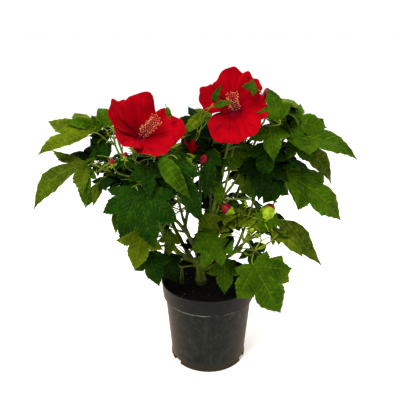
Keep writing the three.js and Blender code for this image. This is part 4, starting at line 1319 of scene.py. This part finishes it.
def potProfile():
    parts = ("rim", "band", "body", "foot", "lip")
    rim, band, body, foot, lip = (potStyle[part + "Radius"] for part in parts)
    wall, top, step, floor = (potStyle[key] for key in ("wall", "height", "bandFoot", "floor"))
    shares = (0, 0.02, 0.25, 0.5, 0.75, 0.985, 1)
    return [
        (0, 0), (lip - 3, 0), (lip - 0.6, 0.5), (lip, 1.5), (lip, 3.8), (lip - 0.6, 5.2),
        *[(lerp(foot, body, t), lerp(6.4, step - 0.6, t)) for t in shares],
        (body + 0.3, step + 0.2), (band - 1.2, step + 0.9), (band - 0.5, step + 1.7),
        (lerp(band, rim, 0.45), top - 18), (rim - 1.1, top - 5), (rim - 0.9, top - 3.9),
        (rim - 0.1, top - 3.2), (rim, top - 2.6), (rim, top - 0.7), (rim - 0.5, top - 0.1), (rim - 1, top),
        (rim - wall - 0.4, top), (rim - wall - 0.9, top - 0.6), (band - wall - 0.6, step + 3),
        (body - wall, step), (foot - wall, floor + 4), (foot - wall - 3, floor), (0, floor),
    ]


def ringOf(radius, height, segments):
    turns = [2 * math.pi * k / segments for k in range(segments)]
    return [(radius * mm * math.cos(turn), radius * mm * math.sin(turn), height * mm) for turn in turns]


def turnedMesh(profile, segments):
    points, faces, rows = [], [], []
    for r, z in profile:
        ring = ringOf(r, z, segments) if r else [(0, 0, z * mm)]
        rows.append([len(points) + k for k in range(len(ring))])
        points += ring
    for low, high in zip(rows, rows[1:]):
        for k in range(segments):
            near, far = k, k + 1
            face = [low[near % len(low)], low[far % len(low)], high[far % len(high)], high[near % len(high)]]
            faces.append(tuple(c for i, c in enumerate(face) if c != face[i - 1]))
    return points, faces


def notchCutter(material):
    (width, depth, height), lip = potStyle["notchSize"], potStyle["lipRadius"]
    sides = ((0, 1, 3, 2), (4, 6, 7, 5), (0, 4, 5, 1), (2, 3, 7, 6), (0, 2, 6, 4), (1, 5, 7, 3))
    points, faces = [], []
    for notch in range(potStyle["notches"]):
        turn = math.radians(potStyle["firstNotch"] + notch * 360 / potStyle["notches"])
        faces += [tuple(len(points) + c for c in side) for side in sides]
        for x, y, z in ((x, y, z) for x in (-1, 1) for y in (-1, 1) for z in (-1, 1)):
            a, b = x * width / 2 * mm, (y * depth - lip) * mm
            flat = (a * math.cos(turn) - b * math.sin(turn), a * math.sin(turn) + b * math.cos(turn))
            points.append((*flat, z * height * mm))
    return buildPiece("notchCutter", points, faces, [material])


def buildPot():
    plastic = potMaterial()
    piece = buildPiece("nurseryPot", *turnedMesh(potProfile(), potStyle["segments"]), [plastic])
    cutter = notchCutter(plastic)
    cut = piece.modifiers.new("notches", "BOOLEAN")
    cut.operation = "DIFFERENCE"
    cut.solver = "EXACT"
    cut.object = cutter
    graph = bpy.context.evaluated_depsgraph_get()
    mesh = bpy.data.meshes.new_from_object(piece.evaluated_get(graph))
    piece.modifiers.remove(cut)
    piece.data = mesh
    bpy.data.objects.remove(cutter)
    mesh.set_sharp_from_angle(angle=math.radians(potStyle["sharpFrom"]))
    settle(piece, ["pot"])


def potMaterial():
    style = potStyle
    material, tree, shader = startMaterial("potPlastic", 0.42, 0.22)
    where = coordinates(tree)
    height = axisOf(tree, where, "Z")
    fine = noiseField(tree, coordinates(tree, stretch=(1, 1, 0.8)), 150, 5.0, 0.75)
    clouds = noiseField(tree, where, 75, 6.0, 0.65)
    color = rampOf(tree, clouds, [(0.35, "090d0b"), (0.55, "141d18"), (0.72, "26332c")])
    dusty = calculate(tree, "MULTIPLY", rampOf(tree, fine, [(0.45, 0.0), (0.75, 1.0)]), 0.22)
    color = mixColors(tree, dusty, color, "665c46")
    color = mixColors(tree, mapRange(tree, height, *style["earthTo"], 0.7, 0.0), color, "3c3220")
    color = mixColors(tree, mapRange(tree, height, *style["darkBand"], 0.0, 0.55), color, "080a09")
    # painted highlight: a pale line along the step under the rim band, broken into patches
    band = mapRange(tree, height, *style["paintedHighlight"], 0.0, 1.0)
    band = rampOf(tree, band, [(0.0, 0.0), (0.42, 0.0), (0.5, 1.0), (0.58, 0.0)])
    highlightPatches = rampOf(tree, noiseField(tree, where, 28, 5.0, 0.7), [(0.5, 0.0), (0.6, 1.0)])
    color = mixColors(tree, mixColors(tree, 1.0, band, highlightPatches, "MULTIPLY"), color, "b9b7ac")
    tree.links.new(rampOf(tree, fine, [(0.3, 0.36), (0.8, 0.62)]), shader.inputs["Roughness"])
    # a film of dust that shows at the turning edges
    shader.inputs["Sheen Weight"].default_value = 0.35
    shader.inputs["Sheen Roughness"].default_value = 0.35
    shader.inputs["Sheen Tint"].default_value = hexColor("b87028")
    paint(tree, shader, color, fine, 0.5, 0.0004)
    return material


soilStyle = {
    "seed": 11,
    "top": 156.5,
    "highest": 158.8,
    "radius": 88.6,
    "dome": 1.2,
    "edgeDrop": 2.2,
    "relief": 1.3,
    "waves": 14,
    "evenness": 5,  # divides the sum of the waves
    "tilt": (-0.25, 0.25),
    "rings": 44,
    "segments": 96,
    "hiddenRings": ((85.2, 137), (74.0, 12)),
    "sizes": (0.35, 1.25),
    "crumbs": {"Count": 2400.0, "Size": 1.5 * mm, "Flatness": (1, 0.8, 0.6), "Seed": 4},
    "paleBits": {"Count": 26.0, "Size": 1.6 * mm, "Flatness": (1.6, 0.5, 0.4), "Seed": 8},
}


def soilMesh():
    s, dice = soilStyle, random.Random(soilStyle["seed"])
    n, spans = s["segments"], (s["tilt"], s["tilt"], anyPhase)
    waves = [[dice.uniform(*span) for span in spans] for _ in range(s["waves"])]
    points, faces = [(0, 0, s["top"] * mm)], []
    for ring in range(1, s["rings"] + 1):
        r = s["radius"] * ring / s["rings"]
        for k in range(n):
            turn = 2 * math.pi * k / n
            x, y = r * math.cos(turn), r * math.sin(turn)
            lump = sum(math.sin(a * x + b * y + c) for a, b, c in waves) / s["evenness"]
            share = r / s["radius"]
            z = s["top"] + s["dome"] * (1 - share**2) - s["edgeDrop"] * share**6 + s["relief"] * lump
            points.append((x * mm, y * mm, min(z, s["highest"]) * mm))
    for r, z in s["hiddenRings"]:
        points += ringOf(r, z, n)
    points.append((0, 0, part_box("soil")[0].z))
    rim, low = 1 + (s["rings"] - 1) * n, len(points) - 1
    for k in range(n):
        a, b = 1 + k, 1 + (k + 1) % n
        faces.append((0, a, b))
        faces += [(a + i, a + n + i, b + n + i, b + i) for i in range(0, rim - 1, n)]
    for k in range(n):
        a, b = rim + k, rim + (k + 1) % n
        faces += [(a + i, a + n + i, b + n + i, b + i) for i in (0, n)]
        faces.append((a + 2 * n, low, b + 2 * n))
    return points, faces


def buildCrumbTree():
    s = soilStyle
    tree, given = startTree("crumbsOnSoil", {
        "Count": "Float", "Size": "Float", "Flatness": "Vector", "Seed": "Int", "Material": "Material"})
    up = axisOf(tree, geometry(tree, "InputNormal"), "Z")
    upward = {"data_type": "FLOAT", "operation": "GREATER_THAN"}
    facingUp = addNode(tree, "FunctionNodeCompare", upward, (up, 0.6)).outputs[0]
    density = calculate(tree, "DIVIDE", given["Count"], math.pi * (s["radius"] * mm) ** 2)
    spots = geometry(tree, "DistributePointsOnFaces", Mesh=given["Geometry"], Selection=facingUp,
                     Density=density, Seed=given["Seed"])
    crumb = geometry(tree, "MeshIcoSphere", Radius=given["Size"], Subdivisions=1)
    crumb = geometry(tree, "Transform", Geometry=crumb, Scale=given["Flatness"])
    spin = addNode(tree, "FunctionNodeRandomValue", {"data_type": "FLOAT_VECTOR"}, Seed=given["Seed"])
    spin.inputs[1].default_value = (anyPhase[1],) * 3
    size = anySize(tree, s["sizes"], given["Seed"])
    laid = geometry(tree, "InstanceOnPoints", Points=spots, Instance=crumb, Rotation=spin.outputs[0],
                    Scale=size)
    endTree(tree, laid, given["Material"])
    return tree


def buildSoil():
    peat = mottledMaterial("peat", "040303", "120d0a", 0.95, 180, 700, 0.0025, 0.2)
    bits = mottledMaterial("paleBits", "6a5a40", "a8977a", 0.9, 200, 900, 0.0006, 0.2)
    soil = buildPiece("peatBed", *soilMesh(), [peat])
    settle(soil, ["soil"])
    tree = buildCrumbTree()
    for name, kind, material in (("peatCrumbs", "crumbs", peat), ("peatBits", "paleBits", bits)):
        copy = placeInScene(bpy.data.objects.new("soilCopy", soil.data.copy()))
        values = {**soilStyle[kind], "Material": material}
        settle(growPiece(name, copy, tree, values), ["soil"])


buildBuds()
buildPot()
buildSoil()
buildCanes()
buildTwigs()
